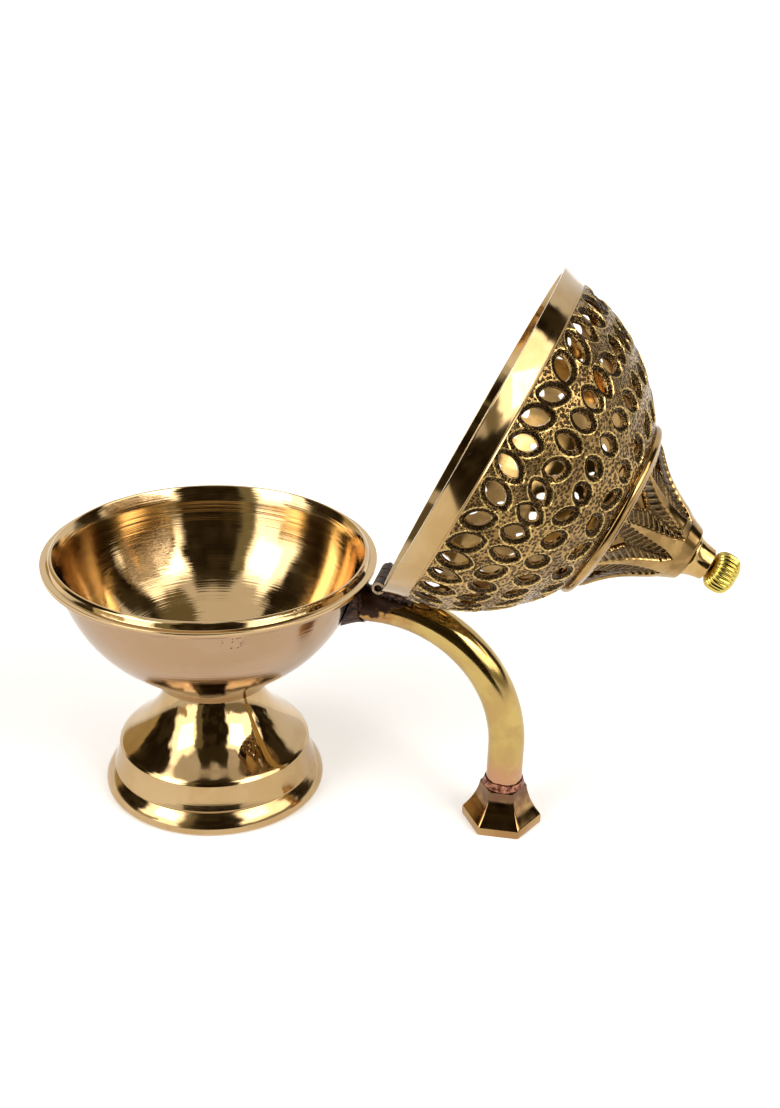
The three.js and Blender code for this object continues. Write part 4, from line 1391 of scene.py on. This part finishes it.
# %% Steel on the fasteners
def brushed_steel():
    """Grey metal with clouds of two greys and fine pits."""
    material, tree, shader = new_material("brushed_steel")
    scaling = {0: node(tree, "ShaderNodeTexCoord").outputs["Object"], 1: (1000.0,) * 3}
    place = node(tree, "ShaderNodeVectorMath", scaling, operation="MULTIPLY").outputs[0]
    cloud = group(tree, clouds, Place=place, Scale=0.4, Cover=0.4)
    pit = group(tree, pits, Place=place, Cell=0.8, Radius=0.3, Share=0.3)
    tint = mix(tree, cloud["Mask"], linear(176, 174, 170), linear(140, 130, 120))
    rough = maths(tree, "MULTIPLY_ADD", cloud["Fine"], 0.25, 0.25)
    finish(tree, shader, tint, rough, bump(tree, pit["Height"], 3e-5))
    return material


steel = brushed_steel()
fasteners = ("bowl_stud", "stud_washer", "stud_nut", "knob_screw", "knob_nut")
for name in fasteners:
    frame["nodes"][name].data.materials.clear()
    frame["nodes"][name].data.materials.append(steel)

# %% [markdown]
# ## Studio
# Polished metal shows its surroundings, so the studio is part of the finish. The floor is pale and
# keeps the shadow, and the camera sees everything past it white. It ends a little in front of the
# picture's lower edge, because the metal would mirror too much white if it went on: from there
# forward the metal sees the dim room instead.

# %% Floor
def floor_material():
    """Pale floor that camera, glossy and transmitted rays see nearly white, with the shadow kept."""
    material, tree, shader = new_material("studio_floor", 0.0)
    shader.inputs["Base Color"].default_value = (0.92, 0.92, 0.92, 1)
    shader.inputs["Roughness"].default_value = 0.9
    shader.inputs["Specular IOR Level"].default_value = 0.0
    rays = node(tree, "ShaderNodeLightPath").outputs
    seen = maths(tree, "MAXIMUM", rays["Is Camera Ray"], rays["Is Glossy Ray"])
    seen = maths(tree, "MAXIMUM", seen, rays["Is Transmission Ray"])
    tree.links.new(times(tree, seen, 0.3), shader.inputs["Emission Strength"])
    shader.inputs["Emission Color"].default_value = (1, 1, 1, 1)
    return material


FLOOR_REACH = 4.0
FLOOR_FRONT = -0.24
floor_mesh = bpy.data.meshes.new("studio_floor")
floor_corners = [(-FLOOR_REACH, FLOOR_FRONT, 0), (FLOOR_REACH, FLOOR_FRONT, 0),
                 (FLOOR_REACH, FLOOR_REACH, 0), (-FLOOR_REACH, FLOOR_REACH, 0)]
floor_mesh.from_pydata(floor_corners, [], [(0, 1, 2, 3)])
floor_mesh.materials.append(floor_material())
floor = bpy.data.objects.new("studio_floor", floor_mesh)
bpy.context.scene.collection.objects.link(floor)
print("floor", FLOOR_REACH * 2, "m wide")

# %% [markdown]
# ## What the metal mirrors
# Round the object hangs a dim brown room with soft panels in it: two tall windows that give the
# long highlights, duller strips under and beside them, and a ceiling that is pale on the left and
# dark on the right. Each panel is a span of directions in the world's shader, so it needs no mesh
# and can be moved by a number.

# %% Panels
# Panels: azimuths from -Y towards +X and elevations in degrees, softness, colour. Later ones lie
# over earlier ones.
panels = [
    (-138, -100, -5, 60, 6, (0.60, 0.47, 0.24)),
    (-60, -18, 3, 53, 7, (3.2, 3.1, 2.9)),
    (-62, -44, 3, 13, 4, (0.70, 0.60, 0.40)),
    (-18, -6, 3, 50, 3, (0.26, 0.24, 0.15)),
    (45, 104, 12, 52, 7, (3.2, 3.1, 2.9)),
    (45, 104, 3, 13, 3, (0.36, 0.33, 0.24)),
    (-200, 68, 54, 95, 4, (0.86, 0.82, 0.78)),
    (68, 200, 54, 95, 4, (0.20, 0.17, 0.10)),
    (-14, 44, 50, 66, 4, (0.05, 0.04, 0.02)),
]
print("panels:", len(panels))

# %% [markdown]
# ## The world's shader
# The panels are laid over one another in the world's material. Noise bends them, because straight
# edges would look like a studio's light boxes. Low down at the sides, and behind the object, the
# metal mirrors a white backdrop. The camera sees white in all directions.

# %% Surroundings
def span(tree, value, low, high, soft):
    """1 where the value is between low and high, fading over a softness at either side."""
    rise = between(tree, value, low - soft / 2, low + soft / 2)
    fall = between(tree, value, high - soft / 2, high + soft / 2, 1.0, 0.0)
    return times(tree, rise, fall)


def surroundings():
    """The world by direction. Metal sees panels in a dim room, with a white backdrop low down, but
    not in front, and higher up behind the object. The camera sees that white everywhere."""
    world = bpy.data.worlds.new("studio")
    bpy.context.scene.world = world
    world.use_nodes = True
    tree = world.node_tree
    way = node(tree, "ShaderNodeTexCoord").outputs["Generated"]
    x, y, z = node(tree, "ShaderNodeSeparateXYZ", {0: way}).outputs
    elevation = maths(tree, "DEGREES", maths(tree, "ARCSINE", z))
    azimuth = maths(tree, "DEGREES", maths(tree, "ARCTAN2", x, times(tree, y, -1.0)))
    noise = node(tree, "ShaderNodeTexNoise", {"Vector": way, "Scale": 5.0, "Detail": 3.0})
    cloud = noise.outputs[0]
    sway = node(tree, "ShaderNodeSeparateColor", {0: noise.outputs[1]}).outputs
    azimuth = maths(tree, "MULTIPLY_ADD", maths(tree, "SUBTRACT", sway[1], 0.5), 22.0, azimuth)
    drape = maths(tree, "MULTIPLY_ADD", maths(tree, "SUBTRACT", sway[2], 0.5), 14.0, elevation)
    colour = mix(tree, between(tree, cloud, 0.4, 0.65), (0.022, 0.015, 0.008, 1), (0.06, 0.048, 0.026, 1))
    for left, right, low, high, soft, tint in panels:
        here = span(tree, drape, low, high, soft)
        here = times(tree, here, span(tree, azimuth, left, right, soft))
        colour = mix(tree, here, colour, (*tint, 1))
    behind = times(tree, between(tree, maths(tree, "ABSOLUTE", azimuth), 130.0, 138.0),
                   between(tree, elevation, 50.0, 58.0, 1.0, 0.0))
    near_floor = between(tree, elevation, 1.0, 4.0, 1.0, 0.0)
    in_front = span(tree, azimuth, -16, 46, 6)
    near_floor = times(tree, near_floor, maths(tree, "SUBTRACT", 1.0, in_front))
    backdrop = maths(tree, "MAXIMUM", behind, near_floor)
    rays = node(tree, "ShaderNodeLightPath").outputs
    mirrored = maths(tree, "MAXIMUM", rays["Is Glossy Ray"], rays["Is Transmission Ray"])
    lit = mix(tree, backdrop, colour, (0.8, 0.8, 0.8, 1))
    shown = maths(tree, "MAXIMUM", rays["Is Camera Ray"], times(tree, mirrored, backdrop))
    colour = mix(tree, shown, lit, (1, 1, 1, 1))
    tree.links.new(colour, tree.nodes["Background"].inputs["Color"])


surroundings()
print("world:", bpy.context.scene.world.name)

# %% [markdown]
# ## Lamps
# Two soft square lamps stand where the bright windows are, so that shadows and highlights agree.
# The world alone lights the floor from all sides, so its shadow is too soft to stand on.

# %% Lamps
def area_lamp(name, azimuth, elevation, distance, size, watts):
    """A soft square lamp that looks at the object. The metal sees it as part of a bright panel."""
    data = bpy.data.lights.new(name, "AREA")
    data.energy = watts
    data.size = size
    lamp = bpy.data.objects.new(name, data)
    a, e = math.radians(azimuth), math.radians(elevation)
    target = Vector((0, 0, 0.07))
    way = Vector((math.sin(a) * math.cos(e), -math.cos(a) * math.cos(e), math.sin(e)))
    lamp.location = target + way * distance
    lamp.rotation_mode = "QUATERNION"
    lamp.rotation_quaternion = way.to_track_quat("Z", "Y")
    bpy.context.scene.collection.objects.link(lamp)


area_lamp("key", -38, 32, 1.5, 0.6, 4.0)
area_lamp("fill", 62, 36, 1.5, 0.6, 4.0)
print("two lamps")

# %% [markdown]
# ## Camera
# The camera stands where the photograph was taken from: a little to the right, looking down by
# about 26 degrees, and rolled by under two degrees.

# %% Camera
CAMERA_AT = Vector((0.0852, -0.3912, 0.2811))
YAW, PITCH, ROLL = 0.208, 0.451, 0.031
ahead = Vector((-math.sin(YAW) * math.cos(PITCH), math.cos(YAW) * math.cos(PITCH), -math.sin(PITCH)))
right = ahead.cross(Vector((0, 0, 1))).normalized()
up = right.cross(ahead)
right, up = right * math.cos(ROLL) + up * math.sin(ROLL), up * math.cos(ROLL) - right * math.sin(ROLL)
FOCAL_LENGTH = 48.75
lens = bpy.data.cameras.new("camera")
lens.lens = FOCAL_LENGTH
lens.sensor_width = 36
lens.clip_start, lens.clip_end = 0.01, 50
camera = bpy.data.objects.new("camera", lens)
turn = Matrix((right, up, -ahead)).transposed()
camera.matrix_world = Matrix.Translation(CAMERA_AT) @ turn.to_4x4()
bpy.context.scene.collection.objects.link(camera)
bpy.context.scene.camera = camera
bpy.context.scene.view_settings.view_transform = "Standard"
print("camera", [round(v, 3) for v in camera.location])
